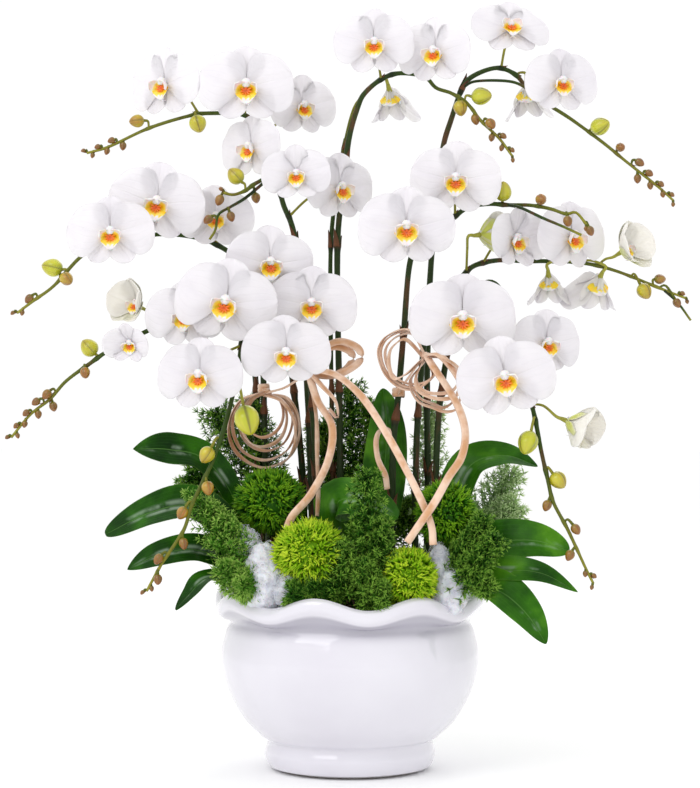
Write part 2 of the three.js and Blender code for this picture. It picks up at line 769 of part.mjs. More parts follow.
/** The potting mix: it fills the bowl to below the lip, its top a low dome. */
function pottingMix(grow = 0) {
  const below = BOWL_INSIDE.filter(([, , scallop]) => scallop === 0).reverse();
  const wall = below.map(([radius, height]) => [radius, height + 2 * GAP, 0]);
  const [edgeRadius] = wall[wall.length - 1];
  const shoulder = [edgeRadius * 0.6, MIX_CROWN - 3 + grow, 0];
  const profile = [...wall, [edgeRadius, MIX_EDGE + grow, 0], shoulder];
  const corners = wallRings(profile, MIX_SIDES, 2 * GAP);
  const rings = profile.length;
  const bottom = corners.length;
  corners.push(
    new THREE.Vector3(0, 0, BOWL_FLOOR + FLOOR_RISE + 2 * GAP),
    new THREE.Vector3(0, 0, MIX_CROWN + grow),
  );
  const faces = ringFaces(rings, MIX_SIDES).slice(0, (rings - 1) * MIX_SIDES * 2);
  const top = (rings - 1) * MIX_SIDES;
  for (let k = 0; k < MIX_SIDES; k++) {
    const next = (k + 1) % MIX_SIDES;
    faces.push([next, k, bottom], [top + k, top + next, bottom + 1]);
  }
  return solidOf(shell(corners, faces));
}

/** Plain hole in the mix for a stem that rises from the root depth. */
function socket(route, radius, sides = STEM_SIDES) {
  const foot = vector(route[0]);
  const next = vector(route[1]);
  const top = foot.clone().lerp(next, (SOCKET_TOP - ROOT) / (next.z - ROOT));
  foot.z -= GAP;
  return tube([foot, top], [radius + GAP, radius + GAP], sides);
}

/** The space that the bowl's rim takes up, kept free by all that grows inside it. */
function rimSpace() {
  const post = (radius, low) => tube(
    [new THREE.Vector3(0, 0, low), new THREE.Vector3(0, 0, LIP_TOP)], [radius, radius], MIX_SIDES * 2);
  return post(160, ROOT).subtract(post(LIP_REACH, ROOT - 1));
}

// ---------------------------------------------------------------- blooms
/** Petal or sepal that spreads from the centre at an angle, tilted forward, its tip curling back. */
function petal({
  angle, length, half, rows, tilt = 0, set = 0, curl = 0, sag = 0, thickness = PETAL_THICKNESS,
}) {
  const outward = new THREE.Vector3(Math.cos(radians(angle)), Math.sin(radians(angle)), 0);
  const front = new THREE.Vector3(0, 0, 1);
  const reach = length * Math.cos(radians(tilt));
  const rise = length * Math.sin(radians(tilt));
  const middle = (share) => {
    const point = outward.clone().multiplyScalar(reach * share);
    return point.addScaledVector(front, set + rise * share - curl * share * share);
  };
  const across = rows.map(([share, width]) => {
    const lean = Math.atan2(rise - 2 * curl * share, reach);
    const direction = outward.clone().multiplyScalar(Math.cos(lean)).addScaledVector(front, Math.sin(lean));
    const up = front.clone().multiplyScalar(Math.cos(lean)).addScaledVector(outward, -Math.sin(lean));
    return [middle(share), direction.clone().cross(up), up, half * width, sag * width];
  });
  return blade(middle(0.02), across, middle(1), thickness);
}

/** A bloom in its own frame: it faces +Z, its top sepal points to +Y. */
function bloomSolid(size, cup = 0) {
  const unit = BLOOM_SPAN * size;
  const narrowed = unit * (1 - cup / 110); // folding petals overlap less when they are slimmer
  const curved = { tilt: cup, curl: 3 };
  const sepal = { ...curved, length: 0.44 * unit, half: 0.155 * narrowed, set: -4, sag: 1, rows: SEPAL_ROWS };
  const broad = {
    ...curved, length: 0.5 * unit, half: 0.31 * narrowed, set: 1.5, sag: 1.5, rows: PETAL_ROWS,
  };
  const lip = { length: 0.2 * unit, half: 0.075 * unit, tilt: 50, set: 3, thickness: 2.4, rows: LIP_ROWS };
  const column = [new THREE.Vector3(0, 0, -STUB_LENGTH), new THREE.Vector3(0, 0, 0.085 * unit)];
  return fuse([
    ...SEPAL_ANGLES.map((angle) => petal({ ...sepal, angle })),
    ...PETAL_ANGLES.map((angle) => petal({ ...broad, angle })),
    petal({ ...lip, angle: LIP_ANGLE }),
    tube(column, [STUB_RADIUS, 0.032 * unit], 4),
  ]);
}

/** A flower that is just opening: five slim petals folded round a short column. */
function openingBud(entry) {
  const unit = BLOOM_SPAN * entry.size;
  const fold = { length: 0.5 * unit, half: 0.14 * unit, tilt: entry.cup, set: -1, sag: 2, rows: LIP_ROWS };
  const petals = [...SEPAL_ANGLES, 18, 162].map((angle) => petal({ ...fold, angle }));
  const column = [new THREE.Vector3(0, 0, -STUB_LENGTH), new THREE.Vector3(0, 0, 0.12 * unit)];
  const flower = fuse([...petals, tube(column, [STUB_RADIUS, 0.06 * unit], 4)]);
  return flower.transform(bloomPlace(entry).elements);
}

/** Places a bloom's own frame in the arrangement. */
function bloomPlace({ at, yaw = 0, pitch = 0, roll = 0 }) {
  const facing = new THREE.Vector3(
    Math.sin(radians(yaw)) * Math.cos(radians(pitch)),
    -Math.cos(radians(yaw)) * Math.cos(radians(pitch)),
    Math.sin(radians(pitch)),
  );
  const right = new THREE.Vector3(0, 0, 1).cross(facing).normalize();
  const up = facing.clone().cross(right);
  const place = new THREE.Matrix4().makeBasis(right, up, facing);
  place.multiply(new THREE.Matrix4().makeRotationZ(radians(roll)));
  place.setPosition(...at);
  return place;
}

/** A bloom standing where it grows. */
function bloom(entry) {
  return bloomSolid(entry.size, entry.cup).transform(bloomPlace(entry).elements);
}

/** Curved stalk from a spike to the back of a bloom, ending just behind the bloom's neck or inside it. */
function pedicel(start, entry, clearance) {
  const place = bloomPlace(entry);
  const end = new THREE.Vector3(0, 0, -STUB_LENGTH - clearance).applyMatrix4(place);
  const behind = new THREE.Vector3(0, 0, -STUB_LENGTH - clearance - 8).applyMatrix4(place);
  const lift = start.clone().lerp(behind, 0.5).add(new THREE.Vector3(0, 0, 0.12 * start.distanceTo(behind)));
  return tube([start, lift, behind, end], [PEDICEL_ROOT, PEDICEL_RADIUS], 3);
}

// ---------------------------------------------------------------- flower spikes
/** Every bloom entry that a spike's hold names. */
function heldBlooms(name) {
  return TWIN_BLOOMS[name] ?? [BLOOMS[name]];
}

/** The bare stems of a spike and its forks, optionally thicker, as a keep-out for its neighbours. */
function spikeStems({ route, forks = [] }, grow = 0) {
  const stems = [tube(route.map(vector), [3.7, 1.3], STEM_SIDES, grow)];
  for (const fork of forks) {
    stems.push(tube(fork.route.map(vector), fork.radii, STEM_SIDES, grow));
  }
  return fuse(stems);
}

/** A flower spike with its forks, stalks, buds and half-open flowers. */
function spike(entry) {
  const { route, holds = [], buds = [], half_open: halfOpen = [] } = entry;
  const parts = [spikeStems(entry)];
  for (const [name, place] of holds) {
    for (const held of heldBlooms(name)) {
      parts.push(pedicel(along(route, place), held, GAP));
    }
  }
  for (const [centre, length, place, fork] of buds) {
    const root = along(fork === undefined ? route : entry.forks[fork].route, place);
    const outward = vector(centre).sub(root);
    const reach = Math.max(outward.length(), 0.5 * length + 3.5);
    outward.normalize();
    const middle = root.clone().addScaledVector(outward, reach);
    const neck = root.clone().addScaledVector(outward, reach - 0.35 * length);
    parts.push(bud(middle, root, length), tube([root, neck], [0.9, 1.3], 3));
  }
  for (const flower of halfOpen) {
    parts.push(openingBud(flower), pedicel(along(route, flower.from), flower, -2));
  }
  return fuse(parts);
}

// ---------------------------------------------------------------- foliage
/** An arching strap leaf along its midrib, its upper side towards `face`. */
function leaf({ route, half, face = [0, 0, 1] }, grow = 0) {
  const midrib = new THREE.CatmullRomCurve3(route.map(vector), false, "catmullrom", 0.5);
  const rows = LEAF_ROWS.map(([share, width]) => {
    const direction = midrib.getTangent(share);
    const side = direction.clone().cross(vector(face)).normalize();
    const up = side.clone().cross(direction);
    return [midrib.getPoint(share), side, up, half * width + 2 * grow, -0.18 * half * width];
  });
  const tip = midrib.getPoint(1).addScaledVector(midrib.getTangent(1), 3 * grow);
  return blade(midrib.getPoint(0), rows, tip, LEAF_THICKNESS + 3 * grow);
}

/** A rosette: strap leaves on a short stem. */
function rosette({ foot: [x, y], top, leaves }, grow = 0) {
  const stem = tube([new THREE.Vector3(x, y, ROOT), new THREE.Vector3(x, y, top)], [8, 6], 6, grow);
  return fuse([stem, ...leaves.map((entry) => leaf(entry, grow))]);
}

/** Faces that raise a patch of corners to a tip, or keep it flat where the spine would meet a neighbour. */
function raised(corners, patch, tip, keepOut) {
  const flat = patch.length === 3 ? [patch] : [patch.slice(0, 3), [patch[0], patch[2], patch[3]]];
  const count = patch.length;
  const sides = patch.map((corner, i) => [corner, patch[(i + 1) % count], count]);
  const own = patch.map((corner) => corners[corner]);
  const base = count === 3 ? [[0, 2, 1]] : [[0, 2, 1], [0, 3, 2]];
  const local = own.map((_, i) => [i, (i + 1) % count, count]);
  const spine = solidOf(shell([...own, tip], [...local, ...base]));
  if (!spine.intersect(keepOut).isEmpty()) {
    return flat;
  }
  corners.push(tip);
  return sides.map(([a, b]) => [a, b, corners.length - 1]);
}

/** A round tufted head on its stem: a core whose every facet is raised to a spine. */
function tuft({ at, radius, foot: [x, y] }, keepOut) {
  const centre = vector(at);
  const core = mergeVertices(bare(new THREE.IcosahedronGeometry(TUFT_CORE * radius, 1)), 1e-4);
  const points = core.attributes.position;
  const corners = Array.from({ length: points.count }, (_, i) => (
    new THREE.Vector3().fromBufferAttribute(points, i).add(centre)));
  const patches = Array.from({ length: core.index.count / 3 }, (_, i) => (
    [0, 1, 2].map((k) => core.index.getX(3 * i + k))));
  const faces = patches.flatMap((patch) => {
    const sum = patch.reduce((total, corner) => total.add(corners[corner]), new THREE.Vector3());
    const out = sum.divideScalar(patch.length).sub(centre).normalize();
    return raised(corners, patch, centre.clone().addScaledVector(out, radius), keepOut);
  });
  const stem = [new THREE.Vector3(x, y, ROOT), new THREE.Vector3(x, y, SOCKET_TOP), centre];
  return fuse([solidOf(shell(corners, faces)), tube(stem, [2.4, 2.2], 4)]);
}

/** Middles of a fern rib's rings: one at the root, the rest above the bare stalk. */
function ribCentres(route) {
  const rib = new THREE.CatmullRomCurve3(route.map(vector), false, "catmullrom", 0.5);
  const bareShare = 1 / (route.length - 1);
  const rings = Array.from({ length: FERN_RINGS }, (_, i) => i / (FERN_RINGS - 1));
  return [rib.getPoint(0), ...rings.map((share) => rib.getPoint(bareShare + (1 - bareShare) * share))];
}

/** A feathery spray: a slim rib whose facets are raised to sprigs on all sides, shorter at the tip. */
function fern({ route, reach }, keepOut, seed) {
  const draw = draws(seed);
  const centres = ribCentres(route);
  const rings = centres.length - 1;
  const directions = headings(centres);
  const corners = ringCorners(centres, FERN_RIB, FERN_SIDES);
  const faces = ringFaces(centres.length, FERN_SIDES).slice(0, 2 * FERN_SIDES);
  for (let i = 1; i < rings; i++) {
    const middle = centres[i].clone().lerp(centres[i + 1], 0.5);
    const length = reach * (1.15 - 0.6 * (i / rings));
    for (let k = 0; k < FERN_SIDES; k++) {
      const next = (k + 1) % FERN_SIDES;
      const low = i * FERN_SIDES;
      const high = low + FERN_SIDES;
      const out = corners[low + k].clone().lerp(corners[low + next], 0.5).sub(centres[i]).normalize();
      out.applyAxisAngle(directions[i], 0.7 * (draw() - 0.5));
      const tip = middle.clone().addScaledVector(directions[i], 0.5 * length);
      tip.addScaledVector(out, length * (0.7 + 0.2 * draw()));
      faces.push(...raised(corners, [low + k, low + next, high + next, high + k], tip, keepOut));
    }
  }
  const top = rings * FERN_SIDES;
  for (let k = 1; k + 1 < FERN_SIDES; k++) {
    faces.push([0, k + 1, k], [top, top + k, top + k + 1]);
  }
  return solidOf(shell(corners, faces));
}

/** White fibre heaped between the plants, clear of all it touches. */
function fibre(lumps, keepOut) {
  return largest(fuse(lumps.map(([centre, radii]) => ball(centre, radii, 1))).subtract(keepOut));
}

// ---------------------------------------------------------------- ribbons
/** Flat ribbon along a smooth route, its width along `face`. */
function strip({ route, face }, grow = 0) {
  const path = new THREE.CatmullRomCurve3(route.map(vector), false, "catmullrom", 0.5);
  const steps = route.length - 1;
  const corners = [];
  for (let i = 0; i <= steps; i++) {
    const centre = path.getPoint(i / steps);
    const heading = path.getTangent(i / steps);
    const across = vector(face);
    across.addScaledVector(heading, -across.dot(heading)).normalize().multiplyScalar(RIBBON_WIDTH / 2 + grow);
    const up = heading.clone().cross(across).normalize().multiplyScalar(RIBBON_THICKNESS / 2 + grow);
    corners.push(
      centre.clone().sub(across).sub(up),
      centre.clone().add(across).sub(up),
      centre.clone().add(across).add(up),
      centre.clone().sub(across).add(up),
    );
  }
  return solidOf(shell(corners, ringFaces(steps + 1, 4)));
}

/** A bow: a band that wraps its stem, a knot, loops and tails. */
function bow({ knots, band, strips }, grow = 0) {
  const [x, y, z] = band.on;
  const post = (radius, height) => tube(
    [new THREE.Vector3(x, y, z - height / 2), new THREE.Vector3(x, y, z + height / 2)], [radius, radius], 10);
  const wrap = post(band.radius + 2 + grow, RIBBON_WIDTH + 2 * grow);
  const balls = knots.map((knot) => ball(knot, [6 + grow, 4.5 + grow, 5 + grow], 0));
  const whole = fuse([wrap, ...balls, ...strips.map((entry) => strip(entry, grow))]);
  return grow > 0 ? whole : whole.subtract(post(band.radius, 3 * RIBBON_WIDTH));
}

// ---------------------------------------------------------------- the arrangement
const arrangement = new THREE.Group();

/** Adds a solid to the arrangement as a named mesh. */
function add(name, solid, finish) {
  const mesh = new THREE.Mesh(geometryOf(solid), new THREE.MeshStandardMaterial(FINISHES[finish]));
  mesh.name = name;
  arrangement.add(mesh);
}

const spikeKeepOut = fuse(Object.values(SPIKES).map((entry) => spikeStems(entry, GAP)));
const rosettes = Object.values(ROSETTES).map((entry) => rosette(entry));
const bowKeepOut = fuse(Object.values(BOWS).map((entry) => bow(entry, GAP)));
const rosetteKeepOut = fuse(Object.values(ROSETTES).map((entry) => rosette(entry, 2 * GAP)));
const tuftSpace = fuse(Object.values(TUFTS).map(({ at, radius }) => (
  ball(at, Array(3).fill(1.12 * radius), 1))));
const ribs = Object.values(FERNS).map(({ route }) => (
  tube(ribCentres(route), FERN_RIB, FERN_SIDES, 2 * GAP)));
const grownMix = pottingMix(GAP);
const growing = fuse([spikeKeepOut, rosetteKeepOut, rimSpace()]);
const aroundFibre = fuse([growing, tuftSpace, grownMix, ...ribs]);
const mounds = Object.values(FIBRE).map((lumps) => fibre(lumps, aroundFibre));
const tuftKeepOut = fuse([growing, bowKeepOut]);
const fernKeepOut = fuse([tuftKeepOut, tuftSpace, ...mounds]);

const sockets = [];
for (const { route, forks = [] } of Object.values(SPIKES)) {
  sockets.push(socket(route, 3.7));
  for (const fork of forks.filter(({ route: branch }) => branch[0][2] === ROOT)) {
    sockets.push(socket(fork.route, fork.radii[0]));
  }
}
for (const { foot: [x, y] } of Object.values(ROSETTES)) {
  sockets.push(socket([[x, y, ROOT], [x, y, SOCKET_TOP]], 8, 6));
}
for (const { foot: [x, y] } of Object.values(TUFTS)) {
  sockets.push(socket([[x, y, ROOT], [x, y, SOCKET_TOP]], 2.4, 4));
}
for (const { route } of Object.values(FERNS)) {
  sockets.push(socket(route, FERN_RIB[0], FERN_SIDES));
}

add("bowl", bowl(), "glaze");
add("potting_mix", pottingMix().subtract(fuse(sockets)), "bark");
Object.keys(FIBRE).forEach((name, i) => add(`fibre_${name}`, mounds[i], "fibre"));
Object.keys(ROSETTES).forEach((name, i) => add(`leaves_${name}`, rosettes[i], "leaf"));
for (const [name, entry] of Object.entries(SPIKES)) {
  add(`spike_${name}`, spike(entry), "stem");
}
for (const [name, entry] of Object.entries(BLOOMS)) {
  add(`bloom_${name}`, bloom(entry), "petal");
}
for (const [name, pair] of Object.entries(TWIN_BLOOMS)) {
  add(`blooms_${name}`, fuse(pair.map(bloom)), "petal");
}
for (const [name, entry] of Object.entries(TUFTS)) {
  add(`tuft_${name}`, tuft(entry, tuftKeepOut), "tuft");
}
Object.entries(FERNS).forEach(([name, entry], i) => {
  add(`fern_${name}`, fern(entry, fernKeepOut, i + 1), "fern");
});
for (const [name, entry] of Object.entries(BOWS)) {
  add(`ribbon_${name}`, bow(entry), "ribbon");
}

export default arrangement;
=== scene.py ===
"""Looks of a white moth orchid arrangement in a glazed bowl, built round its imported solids.

Sizes are millimetres in the frame of the solids, where +Z is up and the viewer stands on -Y;
only the studio's are metres. Each corner carries three marks for the finishes: its place across
the piece, its place along it, and its tone.
"""

from __future__ import annotations

import logging
import math
from dataclasses import dataclass
from enum import Enum
from typing import ClassVar, Iterable, Mapping, Sequence

import bmesh
import bpy
import numpy as np
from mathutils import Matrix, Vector

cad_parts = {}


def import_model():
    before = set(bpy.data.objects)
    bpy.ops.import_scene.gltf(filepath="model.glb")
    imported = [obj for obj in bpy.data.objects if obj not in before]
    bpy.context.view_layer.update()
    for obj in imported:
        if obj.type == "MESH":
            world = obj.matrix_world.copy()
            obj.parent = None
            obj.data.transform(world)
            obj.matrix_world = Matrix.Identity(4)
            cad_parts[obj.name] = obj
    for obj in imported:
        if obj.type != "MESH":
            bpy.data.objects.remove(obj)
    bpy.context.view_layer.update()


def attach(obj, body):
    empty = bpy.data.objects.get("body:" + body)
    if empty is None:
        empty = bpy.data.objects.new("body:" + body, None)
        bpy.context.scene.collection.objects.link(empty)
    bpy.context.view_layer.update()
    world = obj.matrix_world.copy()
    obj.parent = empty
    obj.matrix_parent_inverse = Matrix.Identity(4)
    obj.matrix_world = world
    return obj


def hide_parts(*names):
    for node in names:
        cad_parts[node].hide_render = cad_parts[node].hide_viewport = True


LOG = logging.getLogger("orchid")
Array = np.ndarray
Point = tuple[float, float, float]
Route = Sequence[Point]

MM = 0.001
FULL_TURN = 2 * math.pi
GOLDEN_TURN = math.pi * (1 + 5**0.5)  # spreads places evenly over a ball
LEAF_TURN = 2.4  # radians from one shoot or scale to the next round a stem
ROOT = 125  # height at which the stems end inside the potting mix
BLOOM_SPAN = 105  # across the two petals of a full-size bloom
NECK = 9  # from a bloom's centre back to its stalk
WAVES = 7  # waves that are added up to a random relief
DENSE = 16  # readings between two points of a route when its length is measured


# ---- shader maths
class Value:
    """A shader socket that can be added, multiplied and compared like a number."""

    def __init__(self, shader: Shader, socket: bpy.types.NodeSocket) -> None:
        """Wraps an output socket of one of the shader's nodes."""
        self.shader = shader
        self.socket = socket

    def _with(self, operation: str, *others: Value | float, clamp: bool = False) -> Value:
        """Result of one Math node on this value and the others."""
        settings = {"operation": operation, "use_clamp": clamp}
        return self.shader.node("Math", settings, dict(enumerate([self, *others])))

    def __add__(self, other: Value | float) -> Value:
        """Sum."""
        return self._with("ADD", other)

    __radd__ = __add__

    def __sub__(self, other: Value | float) -> Value:
        """Difference."""
        return self._with("SUBTRACT", other)

    def __rsub__(self, other: float) -> Value:
        """Difference from a plain number."""
        return (self * -1) + other

    def __mul__(self, other: Value | float) -> Value:
        """Product."""
        return self._with("MULTIPLY", other)

    __rmul__ = __mul__

    def __abs__(self) -> Value:
        """Absolute value."""
        return self._with("ABSOLUTE")

    def sine(self) -> Value:
        """Sine of the value in radians."""
        return self._with("SINE")

    def clamped(self) -> Value:
        """The value kept between 0 and 1."""
        return self._with("ADD", 0.0, clamp=True)

    def rise(self, low: float, high: float) -> Value:
        """Smooth rise from 0 at `low` to 1 at `high`.

        Args:
            low: where the rise begins.
            high: where it ends; it may be the smaller of the two.

        Returns:
            A value between 0 and 1.
        """
        settings = {"interpolation_type": "SMOOTHSTEP"}
        if low < high:
            limits = {"Value": self, "From Min": low, "From Max": high}
            return self.shader.node("MapRange", settings, limits)
        return 1 - self.rise(high, low)


class Shader:
    """Node tree of one material."""

    def __init__(self, name: str) -> None:
        """Makes an empty material.

        Args:
            name: the material's name.
        """
        self.material = bpy.data.materials.new(name)
        self.material.use_nodes = True
        self.tree = self.material.node_tree
        self.surface = self.tree.nodes["Principled BSDF"]

    def node(
        self,
        kind: str,
        settings: dict[str, object] | None = None,
        inputs: dict[str | int, object] | None = None,
        output: str | int = 0,
    ) -> Value:
        """Adds a node.

        Args:
            kind: the node's type without its ShaderNode prefix.
            settings: properties that are set before the sockets.
            inputs: a number, colour, vector or value for each named or numbered socket.
            output: the socket that the result comes from.

        Returns:
            The chosen output.
        """
        made = self.tree.nodes.new("ShaderNode" + kind)
        for key, value in (settings or {}).items():
            setattr(made, key, value)
        for key, value in (inputs or {}).items():
            self.feed(made.inputs[key], value)
        return Value(self, made.outputs[output])

    def feed(self, socket: bpy.types.NodeSocket, value: object) -> None:
        """Links or sets one input socket.

        Args:
            socket: the input.
            value: what it is linked to, or what it is set to.
        """
        if isinstance(value, Value):
            self.tree.links.new(value.socket, socket)
        else:
            socket.default_value = value

    def mix(self, share: Value | float, first: object, second: object) -> Value:
        """Blends two colours.

        Args:
            share: 0 for the first colour, 1 for the second.
            first: a colour or a linked one.
            second: a colour or a linked one.

        Returns:
            The blended colour.
        """
        colours = [c if isinstance(c, Value) else (*c, 1.0) for c in (first, second)]
        inputs = {0: share, 6: colours[0], 7: colours[1]}
        return self.node("Mix", {"data_type": "RGBA"}, inputs, output=2)

    def ramp(self, value: Value, stops: Sequence[tuple[float, Sequence[float]]]) -> Value:
        """Colour ramp.

        Args:
            value: where on the ramp.
            stops: places and colours, in order.

        Returns:
            The colour at the value.
        """
        result = self.node("ValToRGB", None, {0: value})
        elements = result.socket.node.color_ramp.elements
        while len(elements) < len(stops):
            elements.new(0.5)
        for element, (place, colour) in zip(elements, stops):
            element.position = place
            element.color = (*colour, 1.0)
        return result

    def place(self, stretch: Point = (1, 1, 1)) -> Value:
        """Object coordinates, stretched along each axis."""
        source = self.node("TexCoord", None, None, "Object")
        return self.node("Mapping", None, {"Vector": source, "Scale": stretch})

    def noise(self, scale: float, detail: float = 3, stretch: Point = (1, 1, 1)) -> Value:
        """Noise between about 0 and 1, with `scale` features to a metre and stretched axes."""
        inputs = {"Vector": self.place(stretch), "Scale": scale, "Detail": detail}
        return self.node("TexNoise", None, inputs)

    def cells(self, scale: float, feature: str = "F1") -> Value:
        """Distance field of scattered cells, `scale` of them to a metre."""
        inputs = {"Vector": self.place(), "Scale": scale}
        return self.node("TexVoronoi", {"feature": feature}, inputs, "Distance")

    def marks(self) -> tuple[Value, Value, Value]:
        """The across, along and tone marks that each piece's corners carry.

        Returns:
            The three marks as values.
        """
        source = self.node("Attribute", {"attribute_name": "marks"}, None, "Vector")
        axes = self.node("SeparateXYZ", None, {0: source}).socket.node.outputs
        return Value(self, axes[0]), Value(self, axes[1]), Value(self, axes[2])

    def bump(self, height: Value, distance: float, strength: float = 1.0) -> Value:
        """Normal of a relief that is `distance` metres high; `strength` is how much shows."""
        inputs = {"Strength": strength, "Distance": distance, "Height": height}
        return self.node("Bump", None, inputs)

    def done(self, **inputs: object) -> bpy.types.Material:
        """Sets the surface's sockets.

        Args:
            inputs: socket names with underscores for spaces.

        Returns:
            The finished material.
        """
        for key, value in inputs.items():
            self.feed(self.surface.inputs[key.replace("_", " ")], value)
        return self.material


# ---- finishes
@dataclass(frozen=True)
class Finish:
    """A surface finish; each kind makes its own nodes."""

    name: str

    def dress(self) -> bpy.types.Material:
        """The finish's material, made once."""
        found = bpy.data.materials.get(self.name)
        return found or self.make(Shader(self.name))

    def make(self, shader: Shader) -> bpy.types.Material:
        """Adds the nodes of this finish."""
        raise NotImplementedError


@dataclass(frozen=True)
class Glaze(Finish):
    """White glaze with a lavender cast, painted shade under the lip and bare clay under the foot.
    """

    def make(self, shader: Shader) -> bpy.types.Material:
        """Adds the nodes of this finish.

        Args:
            shader: the material's node tree.

        Returns:
            The finished material.
        """
        cloud = shader.noise(9, 3).rise(0.3, 0.7)
        glaze = shader.mix(cloud, (0.70, 0.68, 0.745), (0.755, 0.74, 0.80))
        along = shader.marks()[1]
        # Painted shade and reflection: a grey band in the neck under the rolled lip.
        painted_neck_shade = along.rise(0.525, 0.585) * along.rise(0.668, 0.648)
        glaze = shader.mix(painted_neck_shade, glaze, (0.44, 0.425, 0.49))
        fleck = shader.cells(260).rise(0.07, 0.03) * shader.noise(40, 2).rise(0.58, 0.7)
        glaze = shader.mix(fleck * 0.35, glaze, (0.45, 0.42, 0.42))
        height = shader.node("SeparateXYZ", None, {0: shader.place()}, 2)
        bare = height.rise(0.0016, 0.0006)
        colour = shader.mix(bare, glaze, (0.62, 0.55, 0.46))
        rough = shader.noise(35, 4) * 0.07 + 0.07 + bare * 0.7
        relief = shader.noise(28, 2) + shader.noise(420, 2) * 0.06
        return shader.done(
            Base_Color=colour, Roughness=rough, Coat_Weight=(1 - bare) * 0.7,
            Coat_Roughness=0.04, IOR=1.52, Normal=shader.bump(relief, 0.0009, 0.35),
        )


@dataclass(frozen=True)
class Bark(Finish):
    """Damp potting mix and bark chips."""

    def make(self, shader: Shader) -> bpy.types.Material:
        """Adds the nodes of this finish.

        Args:
            shader: the material's node tree.

        Returns:
            The finished material.
        """
        tone = shader.marks()[2]
        grain = shader.noise(420, 5, (1, 1, 2.5))
        colour = shader.ramp(
            (grain * 0.6 + tone * 0.5).clamped(),
            [
                (0.15, (0.012, 0.006, 0.004)), (0.45, (0.06, 0.028, 0.014)),
                (0.8, (0.17, 0.085, 0.04)),
            ],
        )
        return shader.done(
            Base_Color=colour, Roughness=0.7 + shader.noise(90) * 0.28,
            Normal=shader.bump(grain + shader.noise(1400, 3) * 0.4, 0.0011),
        )


@dataclass(frozen=True)
class Fibre(Finish):
    """Teased white fibre."""

    def make(self, shader: Shader) -> bpy.types.Material:
        """Adds the nodes of this finish.

        Args:
            shader: the material's node tree.

        Returns:
            The finished material.
        """
        soft = shader.noise(160, 5)
        strands = shader.noise(900, 4, (1, 2.2, 0.5))
        colour = shader.mix(soft.rise(0.3, 0.6), (0.66, 0.65, 0.74), (0.84, 0.835, 0.89))
        return shader.done(
            Base_Color=colour, Roughness=0.95, Sheen_Weight=0.6, Sheen_Roughness=0.6,
            Subsurface_Weight=0.15, Subsurface_Scale=0.01,
            Normal=shader.bump(strands + soft, 0.0010, 0.5),
        )


@dataclass(frozen=True)
class PetalSkin(Finish):
    """White petal with faint veins, a pressed midrib, painted shade and a green-yellow root."""

    light: Point = (0.755, 0.725, 0.765)
    shade: Point = (0.56, 0.53, 0.60)
    aged: Point = (0.66, 0.64, 0.26)

    def make(self, shader: Shader) -> bpy.types.Material:
        """Adds the nodes of this finish.

        Args:
            shader: the material's node tree.

        Returns:
            The finished material.
        """
        across, along, tone = shader.marks()
        drift = shader.noise(70, 2) * 0.8
        fan = (across * 26 + drift * 5).sine()
        vein = fan.rise(0.6, 1.0) * along.rise(0.0, 0.25) * along.rise(1.0, 0.6)
        midrib = abs(across).rise(0.05, 0.0) * along.rise(0.95, 0.3)
        # Painted shadow: a grey line along the lower side of the midrib.
        painted_midrib_shadow = across.rise(-0.22, -0.06) * across.rise(0.0, -0.06)
        painted_midrib_shadow = painted_midrib_shadow * along.rise(0.95, 0.3)
        root = along.rise(0.28, 0.0)
        colour = shader.mix(vein * 0.05 + painted_midrib_shadow * 0.18, self.light, self.shade)
        mottle = shader.noise(26, 3).rise(0.4, 0.7)
        # Painted shade: greyer towards the bloom's centre. The mottle is random tone.
        colour = shader.mix(mottle * 0.22 + along.rise(0.55, 0.05) * 0.16, colour, self.shade)
        colour = shader.mix(root * 0.1, colour, (0.68, 0.66, 0.52))
        lines = abs(across * 7 + drift).sine().rise(0.2, 0.95)
        aged = shader.mix(lines * 0.6, self.aged, (0.76, 0.71, 0.50))
        colour = shader.mix(tone * along.rise(1.05, 0.35), colour, aged)
        relief = vein * 0.3 + midrib * 0.9 + shader.noise(1500, 2) * 0.1
        return shader.done(
            Base_Color=colour, Roughness=0.42 + shader.noise(120) * 0.14, Sheen_Weight=0.12,
            Subsurface_Weight=0.45, Subsurface_Scale=0.003, Subsurface_Radius=(1, 1, 1),
            Normal=shader.bump(1 - relief, 0.0004, 0.6),
        )


@dataclass(frozen=True)
class LipSkin(Finish):
    """White lip that turns yellow at the shoulders and orange-red, with stripes, at the throat."""

    def make(self, shader: Shader) -> bpy.types.Material:
        """Adds the nodes of this finish.

        Args:
            shader: the material's node tree.

        Returns:
            The finished material.
        """
        across, along, tone = shader.marks()
        speckle = shader.noise(900, 3)
        value = (tone + (speckle - 0.5) * 0.22).clamped()
        colour = shader.ramp(value, [
            (0.14, (0.82, 0.79, 0.79)), (0.28, (0.96, 0.76, 0.12)),
            (0.5, (0.98, 0.63, 0.008)), (0.74, (0.92, 0.33, 0.008)),
            (0.95, (0.80, 0.085, 0.01)),
        ])
        stripe = (across * 17).sine().rise(0.35, 0.9) * along.rise(0.5, 0.1) * tone.rise(0.4, 0.8)
        colour = shader.mix(stripe * 0.6, colour, (0.55, 0.035, 0.012))
        return shader.done(
            Base_Color=colour, Roughness=0.34, Subsurface_Weight=0.3, Subsurface_Scale=0.002,
            Coat_Weight=0.15, Normal=shader.bump(speckle, 0.0002, 0.5),
        )


